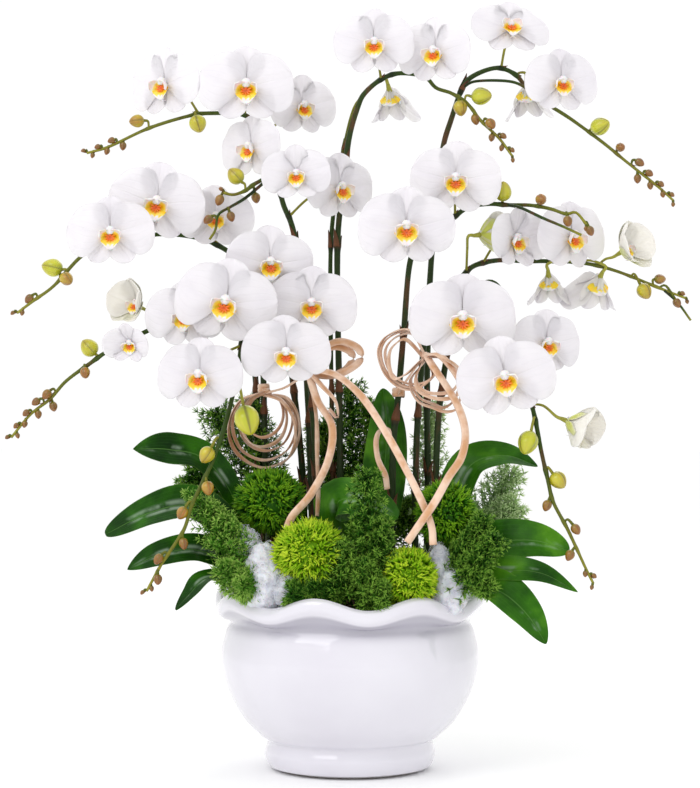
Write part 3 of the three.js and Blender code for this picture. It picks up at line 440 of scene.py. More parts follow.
@dataclass(frozen=True)
class BudSkin(Finish):
    """Bud skin: ochre-brown while small, lime and yellow when full, dark along its seams."""

    def make(self, shader: Shader) -> bpy.types.Material:
        """Adds the nodes of this finish.

        Args:
            shader: the material's node tree.

        Returns:
            The finished material.
        """
        across, along, tone = shader.marks()
        mottle = shader.noise(220, 4)
        colour = shader.ramp((tone + (mottle - 0.5) * 0.3).clamped(), [
            (0.08, (0.16, 0.045, 0.006)), (0.38, (0.36, 0.13, 0.009)),
            (0.62, (0.48, 0.36, 0.013)), (0.9, (0.47, 0.50, 0.012)),
        ])
        side = abs((across * 3 * math.pi).sine())
        seam = side.rise(0.3, 0.04) * along.rise(0.0, 0.2)
        rib = (across * 44).sine().rise(0.0, 1.0) * 0.3
        colour = shader.mix(rib, colour, (0.22, 0.23, 0.015))
        colour = shader.mix(side.rise(0.45, 1.0) * tone * 0.45, colour, (0.72, 0.70, 0.05))
        colour = shader.mix(seam * 0.7, colour, (0.13, 0.11, 0.012))
        browned = along.rise(0.4, 1.0) * (1.15 - tone) * 0.8
        colour = shader.mix(browned, colour, (0.26, 0.085, 0.009))
        colour = shader.mix(along.rise(0.3, 0.0) * 0.5, colour, (0.16, 0.22, 0.015))
        return shader.done(
            Base_Color=colour, Roughness=0.3, Coat_Weight=0.4, Coat_Roughness=0.12,
            Subsurface_Weight=0.05, Subsurface_Scale=0.003,
            Normal=shader.bump(mottle - seam, 0.0004, 0.5),
        )


@dataclass(frozen=True)
class StemSkin(Finish):
    """Stem skin: brown sheaths, dark green with brown blotches below, olive and pale above."""

    def make(self, shader: Shader) -> bpy.types.Material:
        """Adds the nodes of this finish.

        Args:
            shader: the material's node tree.

        Returns:
            The finished material.
        """
        tone = shader.marks()[2]
        fine = shader.noise(520, 4, (1, 1, 0.35))
        colour = shader.ramp((tone * 0.5 + 0.5 + (fine - 0.5) * 0.12).clamped(), [
            (0.0, (0.16, 0.062, 0.024)), (0.3, (0.075, 0.030, 0.012)),
            (0.48, (0.010, 0.022, 0.005)), (0.68, (0.032, 0.066, 0.006)),
            (0.86, (0.22, 0.21, 0.02)), (1.0, (0.46, 0.46, 0.08)),
        ])
        blotch = shader.noise(60, 4, (1, 1, 0.3)).rise(0.54, 0.66) * tone.rise(0.95, 0.2)
        colour = shader.mix(blotch * 0.75, colour, (0.10, 0.036, 0.016))
        stripe = shader.noise(900, 2, (1, 1, 0.04))
        return shader.done(
            Base_Color=colour, Roughness=0.36 + fine * 0.2, Specular_IOR_Level=0.22,
            Normal=shader.bump(fine * 0.6 + stripe, 0.0005, 0.6),
        )


@dataclass(frozen=True)
class LeafSkin(Finish):
    """Glossy leaf with a pressed midrib, parallel veins and painted highlights, in three greens,
    paler below.
    """

    low: Point = (0.002, 0.018, 0.001)
    middle: Point = (0.007, 0.048, 0.001)
    high: Point = (0.026, 0.125, 0.003)

    def make(self, shader: Shader) -> bpy.types.Material:
        """Adds the nodes of this finish.

        Args:
            shader: the material's node tree.

        Returns:
            The finished material.
        """
        across, along, tone = shader.marks()
        cloud = shader.noise(26, 4)
        top = shader.ramp(cloud, [(0.3, self.low), (0.5, self.middle), (0.7, self.high)])
        vein = (across * 34 + cloud * 3).sine().rise(0.6, 1.0)
        top = shader.mix(vein * 0.08, top, (0.05, 0.19, 0.03))
        midrib = abs(across).rise(0.05, 0.015)
        # Paler midrib line: partly the leaf's own colour, partly a painted highlight.
        top = shader.mix(midrib * 0.45, top, (0.12, 0.28, 0.06))
        # Painted highlight: pale patches beside the midrib, where the coat is also thicker.
        painted_highlight = abs(abs(across) - 0.18).rise(0.2, 0.0) * shader.noise(24, 5).rise(0.5, 0.6)
        painted_highlight = painted_highlight * along.rise(0.9, 0.5)
        top = shader.mix(painted_highlight * 0.5, top, (0.34, 0.46, 0.33))
        # Painted highlight along the leaf's edge.
        rim = abs(across).rise(0.95, 1.0)
        top = shader.mix(rim * 0.4, top, (0.16, 0.28, 0.05))
        top = shader.mix(along.rise(0.16, 0.0) * 0.6, top, (0.12, 0.25, 0.05))
        colour = shader.mix(tone, top, (0.085, 0.20, 0.05))
        relief = vein * 0.16 + midrib + cloud * 0.5 + shader.noise(1100, 2) * 0.05
        return shader.done(
            Base_Color=colour, Roughness=0.26 + shader.noise(70, 3) * 0.14 + tone * 0.2,
            Specular_IOR_Level=0.1, Coat_Weight=0.02 + painted_highlight * 0.6, Coat_Roughness=0.08,
            Normal=shader.bump(1 - relief, 0.0007, 0.6),
        )


@dataclass(frozen=True)
class NeedleSkin(Finish):
    """Fine green needles, darker at their roots and lighter to their tips."""

    root: Point
    middle: Point
    tip: Point

    def make(self, shader: Shader) -> bpy.types.Material:
        """Adds the nodes of this finish.

        Args:
            shader: the material's node tree.

        Returns:
            The finished material.
        """
        _, along, tone = shader.marks()
        patch = shader.noise(110, 3)
        # Darker towards the roots: partly the needles' own colour, partly painted shade between
        # them.
        value = (along * 0.6 + tone * 0.4 + (patch - 0.5) * 0.5).clamped()
        colour = shader.ramp(value, [(0.05, self.root), (0.45, self.middle), (0.95, self.tip)])
        return shader.done(
            Base_Color=colour, Roughness=0.5, Specular_IOR_Level=0.15,
            Normal=shader.bump(shader.noise(2600, 2), 0.0002, 0.4),
        )


@dataclass(frozen=True)
class Satin(Finish):
    """Satin ribbon: fine threads along it, rose-beige with painted highlights and tan shadows."""

    def make(self, shader: Shader) -> bpy.types.Material:
        """Adds the nodes of this finish.

        Args:
            shader: the material's node tree.

        Returns:
            The finished material.
        """
        across, along, tone = shader.marks()
        thread = (across * 42).sine() * 0.5 + 0.5
        weft = (along * 2600).sine() * 0.5 + 0.5
        # Painted light and shade: paler and darker bands along the ribbon. The same noise varies
        # the roughness.
        painted_light_and_wear = shader.noise(55, 3)
        colour = shader.mix(painted_light_and_wear.rise(0.35, 0.65), (0.68, 0.355, 0.17), (0.93, 0.68, 0.52))
        colour = shader.mix(thread * 0.14, colour, (0.46, 0.24, 0.13))
        # Painted highlight: paler towards the sides of the ribbon's width.
        colour = shader.mix(abs(across).rise(0.45, 0.8) * 0.3, colour, (0.88, 0.70, 0.58))
        colour = shader.mix(abs(across).rise(0.9, 0.97) * 0.45, colour, (0.30, 0.13, 0.05))
        # Darker by the tone mark: a random amount for each strip, plus painted shade on each
        # strip's lower side.
        colour = shader.mix(tone, colour, (0.27, 0.11, 0.04))
        return shader.done(
            Base_Color=colour, Roughness=0.22 + painted_light_and_wear * 0.16, Sheen_Weight=0.25, Anisotropic=0.4,
            Normal=shader.bump(thread * 0.6 + weft * 0.3, 0.00012, 0.5),
        )


@dataclass(frozen=True)
class Paper(Finish):
    """Pale studio floor."""

    def make(self, shader: Shader) -> bpy.types.Material:
        """Adds the nodes of this finish."""
        colour = (0.98, 0.98, 0.98, 1)
        return shader.done(Base_Color=colour, Roughness=1.0, Specular_IOR_Level=0.2)


CREAM = PetalSkin("cream_petal", (0.82, 0.79, 0.74), (0.66, 0.62, 0.50), (0.60, 0.66, 0.06))
LIP = LipSkin("striped_lip")
STEM = StemSkin("stem_skin")
# A lighter, yellower copy of the leaf finish, for the right and centre leaves.
LIGHTER_LEAF = LeafSkin(
    "lighter_leaf_skin", (0.007, 0.05, 0.001), (0.028, 0.13, 0.003), (0.10, 0.30, 0.012),
)
LIME = NeedleSkin("lime_needles", (0.02, 0.09, 0.001), (0.22, 0.47, 0.003), (0.74, 0.90, 0.05))
DEEP = NeedleSkin("deep_needles", (0.004, 0.026, 0.001), (0.035, 0.17, 0.003), (0.28, 0.56, 0.015))
FROND = NeedleSkin("fern_needles", (0.010, 0.05, 0.003), (0.08, 0.26, 0.015), (0.48, 0.72, 0.14))
SHADED_FROND = NeedleSkin(
    "shaded_fern_needles", (0.003, 0.02, 0.001), (0.024, 0.12, 0.004), (0.32, 0.57, 0.07),
)
PALE_FROND = NeedleSkin(
    "pale_fern_needles", (0.22, 0.38, 0.11), (0.42, 0.62, 0.24), (0.74, 0.88, 0.50),
)
PAPER = Paper("floor_paper")


@dataclass(frozen=True)
class Looks:
    """How a kind of piece is dressed: its finishes, a slot name and its name's ending."""

    finishes: tuple[Finish, ...]
    slot: str
    ending: str


GLAZED_LOOKS = Looks((Glaze("white_glaze"),), "glaze", "_glazed")
BARK_LOOKS = Looks((Bark("potting_bark"),), "bark", "_chips")
FIBRE_LOOKS = Looks((Fibre("white_fibre"),), "fibre", "_strands")
BLOOM_LOOKS = Looks((PetalSkin("white_petal"), LIP, STEM), "petal", "_petals")
SPIKE_LOOKS = Looks((CREAM, LIP, STEM, BudSkin("bud_skin")), "stem", "_stems")
LEAF_LOOKS = Looks((LeafSkin("leaf_skin"),), "leaf", "_blades")
LIGHTER_LEAF_LOOKS = Looks((LIGHTER_LEAF,), "leaf", "_blades")
LIME_LOOKS = Looks((LIME,), "tuft_lime", "_needles")
DEEP_LOOKS = Looks((DEEP,), "tuft_deep", "_needles")
FERN_LOOKS = Looks((FROND,), "fern", "_needles")
SHADED_FERN_LOOKS = Looks((SHADED_FROND,), "fern", "_needles")
PALE_FERN_LOOKS = Looks((PALE_FROND,), "fern", "_needles")
RIBBON_LOOKS = Looks((Satin("satin_ribbon"),), "ribbon", "_satin")


# ---- lines and surfaces
def smooth(route: Route | Array, places: Array | Iterable[float]) -> Array:
    """Points of the smooth curve through a route.

    Args:
        route: the points that the curve passes through.
        places: where to read it, counted in route points.

    Returns:
        One point for each place.
    """
    points = np.asarray(route, float)
    places = np.asarray(places, float)
    ends = 2 * points[0] - points[1], 2 * points[-1] - points[-2]
    padded = np.vstack([ends[0], points, ends[1]])
    first = np.clip(np.floor(places).astype(int), 0, len(points) - 2)
    t = (places - first)[:, None]
    a, b, c, d = (padded[first + k] for k in range(4))
    cubic = (3 * b - a - 3 * c + d) * t**3
    return 0.5 * (2 * b + (c - a) * t + (2 * a - 5 * b + 4 * c - d) * t**2 + cubic)


def travelled(points: Array) -> Array:
    """Distance along a chain of points from its first point to each of them."""
    return np.concatenate([[0], np.cumsum(np.linalg.norm(np.diff(points, axis=0), axis=1))])


def paced(route: Route | Array, step: float) -> Array:
    """Places that are evenly spaced along a route's smooth curve.

    Args:
        route: the points that the curve passes through.
        step: about the distance between two places.

    Returns:
        The places, counted in route points.
    """
    dense = np.linspace(0, len(route) - 1, DENSE * (len(route) - 1) + 1)
    run = travelled(smooth(route, dense))
    count = max(3, int(round(run[-1] / step)) + 1)
    return np.interp(np.linspace(0, run[-1], count), run, dense)


def around(count: int) -> Array:
    """Evenly spaced angles round a full turn, in radians."""
    return FULL_TURN * np.arange(count) / count


def rim(turn: Array, radius: Array | float, height: Array | float) -> Array:
    """Points at these angles, radii and heights round the upright axis."""
    flat = np.cos(turn) * radius, np.sin(turn) * radius
    return np.stack(np.broadcast_arrays(*flat, height), axis=-1)


def crosswise(columns: int) -> Array:
    """Places across a blade between -1 and 1, closer together at its edges."""
    return np.sin(np.linspace(-math.pi / 2, math.pi / 2, columns))


def unit(vectors: Array) -> Array:
    """Vectors scaled to a length of one."""
    vectors = np.asarray(vectors, float)
    return vectors / np.maximum(np.linalg.norm(vectors, axis=-1, keepdims=True), 1e-9)


def frames(points: Array) -> tuple[Array, Array, Array]:
    """Directions along a chain of points, with two normals that turn as little as they can.

    Args:
        points: the chain.

    Returns:
        The directions, the first normals and the second normals.
    """
    directions = unit(np.gradient(points, axis=0))
    start = (0, 0, 1) if abs(directions[0][2]) < 0.9 else (0, 1, 0)
    side = np.cross(start, directions[0])
    sides = []
    for direction in directions:
        side = unit(side - direction * side.dot(direction))
        sides.append(side)
    sides = np.array(sides)
    return directions, sides, np.cross(directions, sides)


def ripple(points: Array, size: float, rng: np.random.Generator) -> Array:
    """Smooth random relief between about -1 and 1.

    Args:
        points: where to read it.
        size: length of the longest wave.
        rng: source of the waves.

    Returns:
        One value for each point.
    """
    total = np.zeros(points.shape[:-1])
    for k in range(WAVES):
        heading = unit(rng.normal(size=3)) * FULL_TURN / (size / (1 + 0.35 * k))
        total += np.sin(points @ heading + rng.uniform(0, FULL_TURN)) / (1 + 0.25 * k)
    return total / (0.5 * WAVES)


def spokes(side: Array, up: Array, turn: Array) -> Array:
    """Directions at these angles round each point of a chain, from its two normals."""
    return side[:, None] * np.cos(turn)[:, None] + up[:, None] * np.sin(turn)[:, None]


def ball_template(detail: int) -> tuple[Array, Array]:
    """Corners and triangles of a ball of radius one.

    Args:
        detail: how often its faces are split.

    Returns:
        The corners and the triangles.
    """
    mesh = bmesh.new()
    bmesh.ops.create_icosphere(mesh, subdivisions=detail, radius=1)
    corners = np.array([v.co for v in mesh.verts])
    faces = np.array([[v.index for v in f.verts] for f in mesh.faces])
    mesh.free()
    return corners, faces


class Form:
    """Corners, faces and marks of one piece while it is made."""

    def __init__(self, seed: int = 1) -> None:
        """Starts an empty form.

        Args:
            seed: seed of the form's own random draws.
        """
        self.corners: list[Array] = []
        self.marks: list[Array] = []
        self.faces: list[Array] = []
        self.slots: list[Array] = []
        self.count = 0
        self.place = np.eye(4)
        self.rng = np.random.default_rng(seed)

    def add(self, corners: Array, marks: Array, faces: Iterable[Array], slot: int = 0) -> None:
        """Adds a surface in the form's present place.

        Args:
            corners: its corners.
            marks: across, along and tone of each corner.
            faces: arrays of faces, each array with faces of one size.
            slot: material slot.
        """
        moved = corners.reshape(-1, 3) @ self.place[:3, :3].T + self.place[:3, 3]
        self.corners.append(moved)
        self.marks.append(marks.reshape(-1, 3))
        for group in faces:
            self.faces.append(group + self.count)
            self.slots.append(np.full(len(group), slot))
        self.count += len(moved)

    def ball(self, template: tuple[Array, Array], tone: float = 0.0) -> None:
        """Adds one ball-like body of corners and triangles, with the same mark all over."""
        corners, faces = template
        self.add(corners, np.full(corners.shape, tone), [faces])

    def loft(
        self, rings: Array, tone: Array | float = 0.0, slot: int = 0, across: Array | None = None,
    ) -> None:
        """Adds a closed skin through rings of corners, with flat ends.

        Args:
            rings: corners, ring by ring.
            tone: mark, as one number or as an array that fits the rings.
            slot: material slot.
            across: mark round each ring, where it isn't the share of the way round.
        """
        rows, count, _ = rings.shape
        marks = np.zeros((rows, count, 3))
        marks[..., 0] = np.arange(count) / count if across is None else across
        marks[..., 1] = np.linspace(0, 1, rows)[:, None]
        marks[..., 2] = tone
        index = np.arange(rows * count).reshape(rows, count)
        right = np.roll(index, -1, axis=1)
        quads = np.stack([index[:-1], right[:-1], right[1:], index[1:]], axis=-1).reshape(-1, 4)
        ends = [index[:1, ::-1], index[-1:]]
        a, b, c, d = (rings.reshape(-1, 3)[quads[:, k]] for k in range(4))
        volume = np.einsum("ij,ij->", a, np.cross(b, c) + np.cross(c, d))
        for ring, sign in ((rings[0], -1), (rings[-1], 1)):
            middle = ring.mean(axis=0)
            turned = np.cross(ring, np.roll(ring, -1, axis=0))
            volume += sign * np.einsum("j,ij->", middle, turned)
        if volume < 0:
            quads, ends = quads[:, ::-1], [e[:, ::-1] for e in ends]
        self.add(rings, marks, [quads, *ends], slot)

    def tube(
        self, points: Array, radius: Array | float, tone: Array | float = 0.0, slot: int = 0,
        sides: int = 10,
    ) -> None:
        """Adds a round tube.

        Args:
            points: its middle line.
            radius: one radius, or one for each point.
            tone: one mark, or one for each point.
            slot: material slot.
            sides: corners round it.
        """
        _, side, up = frames(points)
        count = len(points)
        radii = np.broadcast_to(np.asarray(radius, float), (count,))[:, None, None]
        tones = np.broadcast_to(np.asarray(tone, float), (count,))[:, None]
        self.loft(points[:, None] + radii * spokes(side, up, around(sides)), tones, slot)

    def blade(
        self, middle: Array, side: Array, up: Array, half: Array, lift: Array, thickness: float,
        tones: tuple[Array | float, Array | float] = (0.0, 0.0), slot: int = 0,
    ) -> None:
        """Adds a thin closed blade.

        Args:
            middle: its middle line.
            side: the way its width runs at each point.
            up: the way its upper side faces at each point.
            half: half width at each point, as one number for each row or column by column.
            lift: how far each row's points stand up, column by column.
            thickness: thickness in the middle.
            tones: marks of the upper and the lower side.
            slot: material slot.
        """
        rows, columns = lift.shape
        across = crosswise(columns)
        width = half if half.ndim == 2 else half[:, None]
        body = middle[:, None] + side[:, None] * (width * across)[..., None]
        body = body + up[:, None] * lift[..., None]
        plump = np.minimum(thickness / 2 * np.sqrt(1 - across**2), 0.45 * width)
        offset = up[:, None] * plump[..., None]
        rings = np.concatenate([body + offset, (body - offset)[:, -2:0:-1]], axis=1)
        round_marks = np.concatenate([across, across[-2:0:-1]])
        upper, lower = (np.broadcast_to(np.asarray(t, float), (rows, columns)) for t in tones)
        tone = np.concatenate([upper, lower[:, -2:0:-1]], axis=1)
        self.loft(rings, tone, slot, round_marks)

    def needles(
        self, roots: Array, tips: Array, radius: float, tone: Array, bend: float,
    ) -> None:
        """Adds slim three-sided needles.

        Args:
            roots: where each needle starts.
            tips: where each needle ends.
            radius: radius at the middle.
            tone: mark of each needle.
            bend: how far the middles stray from straight.
        """
        count = len(roots)
        axis = tips - roots
        side = unit(np.cross(axis, unit(self.rng.normal(size=(count, 3)))))
        up = unit(np.cross(axis, side))
        middle = roots + 0.5 * axis + side * self.rng.normal(0, 1, (count, 1)) * bend
        spread = spokes(side, up, around(3))
        low = roots[:, None] + 0.6 * radius * spread
        mid = middle[:, None] + radius * spread
        corners = np.concatenate([low, mid, tips[:, None]], axis=1)
        marks = np.zeros((count, 7, 3))
        marks[:, 3:6, 1] = 0.5
        marks[:, 6, 1] = 1
        marks[..., 2] = np.asarray(tone)[:, None]
        start = 7 * np.arange(count)[:, None, None]
        quads = start + np.array([[0, 1, 4, 3], [1, 2, 5, 4], [2, 0, 3, 5]])
        triangles = start + np.array([[0, 2, 1], [3, 4, 6], [4, 5, 6], [5, 3, 6]])
        self.add(corners, marks, [quads.reshape(-1, 4), triangles.reshape(-1, 3)])

    def scatter(self, template: tuple[Array, Array], places: Array, tone: Array) -> None:
        """Adds one moved copy of a template for each place.

        Args:
            template: corners and triangles.
            places: a 3 by 4 matrix for each copy.
            tone: mark of each copy.
        """
        corners, faces = template
        moved = np.einsum("nij,kj->nki", places[:, :, :3], corners) + places[:, None, :, 3]
        marks = np.zeros((*moved.shape[:2], 3))
        marks[..., 2] = np.asarray(tone)[:, None]
        first = len(corners) * np.arange(len(places))[:, None, None]
        self.add(moved, marks, [(faces + first).reshape(-1, 3)])

    def piece(self, node: str, looks: Looks) -> bpy.types.Object:
        """Turns the form into a piece of the model.

        Args:
            node: the solid that it stands for.
            looks: how it is dressed.

        Returns:
            The piece, riding on the model's one body.
        """
        name = node + looks.ending
        corners = np.concatenate(self.corners) * MM
        loops = np.concatenate([group.reshape(-1) for group in self.faces])
        sizes = np.concatenate([np.full(len(group), group.shape[1]) for group in self.faces])
        mesh = bpy.data.meshes.new(name)
        mesh.vertices.add(len(corners))
        mesh.vertices.foreach_set("co", corners.reshape(-1).astype(np.float32))
        mesh.loops.add(len(loops))
        mesh.loops.foreach_set("vertex_index", loops.astype(np.int32))
        mesh.polygons.add(len(sizes))
        starts = np.concatenate([[0], np.cumsum(sizes)[:-1]])
        mesh.polygons.foreach_set("loop_start", starts.astype(np.int32))
        mesh.polygons.foreach_set("material_index", np.concatenate(self.slots).astype(np.int32))
        mesh.polygons.foreach_set("use_smooth", np.ones(len(sizes), bool))
        mesh.update(calc_edges=True)
        mesh.validate()
        marks = mesh.attributes.new("marks", "FLOAT_VECTOR", "POINT")
        marks.data.foreach_set("vector", np.concatenate(self.marks).reshape(-1).astype(np.float32))
        for finish in looks.finishes:
            mesh.materials.append(finish.dress())
        made = bpy.data.objects.new(name, mesh)
        bpy.context.scene.collection.objects.link(made)
        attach(made, "root")
        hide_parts(node)
        LOG.info("%s: %d faces", name, len(sizes))
        return made


class Growth:
    """One piece that stands for one solid; each kind makes its own form."""

    looks: Looks

    def shape(self, form: Form) -> None:
        """Adds the piece's surfaces to a form."""
        raise NotImplementedError

    def build(self, node: str, seed: int) -> bpy.types.Object:
        """Makes the piece.

        Args:
            node: the solid that it stands for.
            seed: seed of its small variations.

        Returns:
            The finished piece.
        """
        form = Form(seed)
        self.shape(form)
        return form.piece(node, self.looks)


# ---- flowers
@dataclass(frozen=True)
class Place:
    """Where a bloom grows: centre, turn to the right, tilt up, roll, size and cupping."""

    at: Point
    yaw: float = 0
    pitch: float = 0
    roll: float = 0
    size: float = 1
    cup: float = 0

    def matrix(self) -> Array:
        """Matrix from the bloom's own frame, which faces +Z with its top sepal on +Y.

        Returns:
            A 4 by 4 matrix.
        """
        yaw, pitch, roll = (math.radians(a) for a in (self.yaw, self.pitch, self.roll))
        level = math.cos(pitch)
        facing = np.array([math.sin(yaw) * level, -math.cos(yaw) * level, math.sin(pitch)])
        right = unit(np.cross((0, 0, 1), facing))
        up = np.cross(facing, right)
        place = np.eye(4)
        place[:3, 0] = right * math.cos(roll) + up * math.sin(roll)
        place[:3, 1] = up * math.cos(roll) - right * math.sin(roll)
        place[:3, 2] = facing
        place[:3, 3] = self.at
        return place

    def behind(self, distance: float) -> Array:
        """Point that far behind the bloom's centre."""
        return self.at - distance * self.matrix()[:3, 2]


class Slot(int, Enum):
    """Material slots of a flower or a spike."""

    PETAL = 0
    LIP = 1
    STEM = 2
    BUD = 3


FRESH = 0.85  # stem mark of the pale green neck behind a flower
AGED_BACK = 0.22  # petal mark of the backs of the sepals
LIP_TURN = -90  # degrees round the face, as are the turns below
TOP_SEPAL_TURN = 90
SIDE_SEPAL_TURNS = (-50, 230)
PETAL_TURNS = (15, 165)
SIDE_LOBE_TURNS = ((-1, 138), (1, 42))
OPENING_SEPAL_TURNS = (90, -54, 234)
OPENING_PETAL_TURNS = (18, 162)
STAR_TURNS = (-210, -165, -125, -90, -55, -15, 30, 90)
STAR_RADII = (0.02, 0.019, 0.016, 0.012, 0.009, 0.003)
COLUMN_HEIGHTS = (-0.02, 0.02, 0.05, 0.075, 0.094, 0.106, 0.11)
COLUMN_RADII = (0.03, 0.04, 0.047, 0.05, 0.044, 0.027, 0.008)
COLUMN_TONES = (0.1, 0.05, 0.02, 0.02, 0.02, 0.02, 0.02)
TENDRIL = 0.055  # its length as a share of the bloom's span


@dataclass(frozen=True)
class Petal:
    """A petal, sepal or lobe; sizes are shares of the bloom's span and angles are degrees."""

    length: float
    half: float
    widest: float = 0.5
    claw: float = 0.2
    full: float = 2.2
    start: float = 0.02
    forward: float = 0.0
    lean: float = 10
    curl: float = -20
    dish: float = 0.0
    crease: float = 0.012
    wave: float = 0.012
    rows: int = 22
    columns: int = 17
    thickness: float = 0.9
    shoulder: float = 0.0

    def width(self, share: Array) -> Array:
        """Half width as a share of the widest, from root to tip.

        Args:
            share: places along it, from 0 to 1.

        Returns:
            One share for each place.
        """
        low = np.clip(share / self.widest, 0, 1)
        rise = self.claw + (1 - self.claw) * np.sin(math.pi / 2 * low) ** 1.3
        high = np.clip((share - self.widest) / (1 - self.widest), 0, 1)
        return np.where(share < self.widest, rise, np.sqrt(1 - high**self.full))

    def upper(self, share: Array) -> Array:
        """Half width of the upper side, which swells close to the root where it has a shoulder.

        Args:
            share: places along it, from 0 to 1.

        Returns:
            One share for each place.
        """
        swell = np.sin(math.pi / 2 * np.clip(share / 0.3, 0, 1)) ** 0.55
        swell = swell * np.sqrt(1 - share**2.6)
        return (1 - self.shoulder) * self.width(share) + self.shoulder * swell

    def grow(
        self, form: Form, angle: float, span: float, tones: tuple[object, object],
        slot: Slot = Slot.PETAL, base: Point = (0, 0, 0), tilt: float = 0, narrow: float = 1,
        seeded: float = 1,
    ) -> Array:
        """Adds the petal to a form.

        Args:
            form: where it goes, in the bloom's own frame.
            angle: the way it points, in degrees round the bloom's face.
            span: the bloom's span.
            tones: marks of the front and the back, as numbers or functions of across and along.
            slot: material slot.
            base: where it is rooted, in shares of the span.
            tilt: degrees that it folds forward.
            narrow: share of its width that is kept.
            seeded: how much it varies from its pattern.

        Returns:
            Its tip and the way that it points there.
        """
        rng = form.rng
        turn = math.radians(angle + rng.normal(0, 2) * seeded)
        outward = np.array([math.cos(turn), math.sin(turn), 0])
        front = np.array([0.0, 0.0, 1.0])
        side = np.array([-math.sin(turn), math.cos(turn), 0])
        if math.cos(turn) <= -0.01:  # so that the upper edge is on the same side of both petals
            side = -side
        share = np.clip((1 - np.cos(np.linspace(0, math.pi, self.rows))) / 2, 0, 0.9985)
        bend = self.curl + rng.normal(0, 6) * seeded
        lean = np.radians(self.lean + tilt + bend * share)
        heading = np.cos(lean)[:, None] * outward + np.sin(lean)[:, None] * front
        up = np.cos(lean)[:, None] * front - np.sin(lean)[:, None] * outward
        steps = np.diff(share)[:, None] * (heading[1:] + heading[:-1]) / 2
        line = np.vstack([np.zeros(3), np.cumsum(steps, axis=0)]) * self.length * span
        root = (np.array(base) + outward * self.start + front * self.forward) * span
        across = crosswise(self.columns)[None]
        along = share[:, None]
        half = self.half * span * narrow * (1 + rng.normal(0, 0.03) * seeded)
        half = half * np.where(across > 0, self.upper(along), self.width(along))
        phase = rng.uniform(0, FULL_TURN, 3)
        lift = self.dish * half * across**2
        lift = lift - self.crease * span * np.exp(-((across / 0.13) ** 2)) * (1 - along) ** 0.5
        ruffle = np.sin(9 * along + phase[0] + 1.5 * across) + 0.5 * np.sin(17 * along + phase[1])
        lift = lift + self.wave * span * ruffle * np.abs(across) ** 3 * along
        lift = lift + 0.25 * self.wave * span * np.sin(7 * across + 5 * along + phase[2])
        sides = np.broadcast_to(side, (self.rows, 3))
        front_mark, back_mark = (t(across, along) if callable(t) else t for t in tones)
        marks = (front_mark, back_mark)
        form.blade(root + line, sides, up, half, lift, self.thickness, marks, slot)
        return np.array([root + line[-1], heading[-1]])


TOP_SEPAL = Petal(0.42, 0.19, 0.55, 0.3, 2.1, 0.015, -0.018, 10, -18, 0.06, columns=19)
SIDE_SEPAL = Petal(0.36, 0.16, 0.5, 0.3, 2.0, 0.015, -0.026, 6, -14, 0.08, columns=19)
BROAD_PETAL = Petal(
    0.475, 0.325, 0.52, 0.1, 2.4, 0.02, 0.008, 14, -28, -0.05, crease=0.014, rows=30, columns=33,
    thickness=0.7, shoulder=0.85,
)
MIDDLE_LOBE = Petal(
    0.165, 0.125, 0.34, 0.35, 0.8, 0.0, 0.02, 46, -52, 0.3, crease=0.004, wave=0.006, rows=20,
    thickness=1.3,
)
SIDE_LOBE = Petal(
    0.15, 0.075, 0.55, 0.5, 2.4, 0.012, 0.024, 26, 66, 0.7, crease=0.0, wave=0.008, rows=16,
    columns=13, thickness=1.0,
)
OPENING_PETAL = Petal(0.5, 0.3, 0.55, 0.3, 2.6, 0.02, 0.0, 10, 30, 0.42, rows=20, columns=19)
OPENING_SEPAL = Petal(0.46, 0.2, 0.5, 0.4, 2.3, 0.02, -0.02, 4, 24, 0.42, rows=18, columns=17)


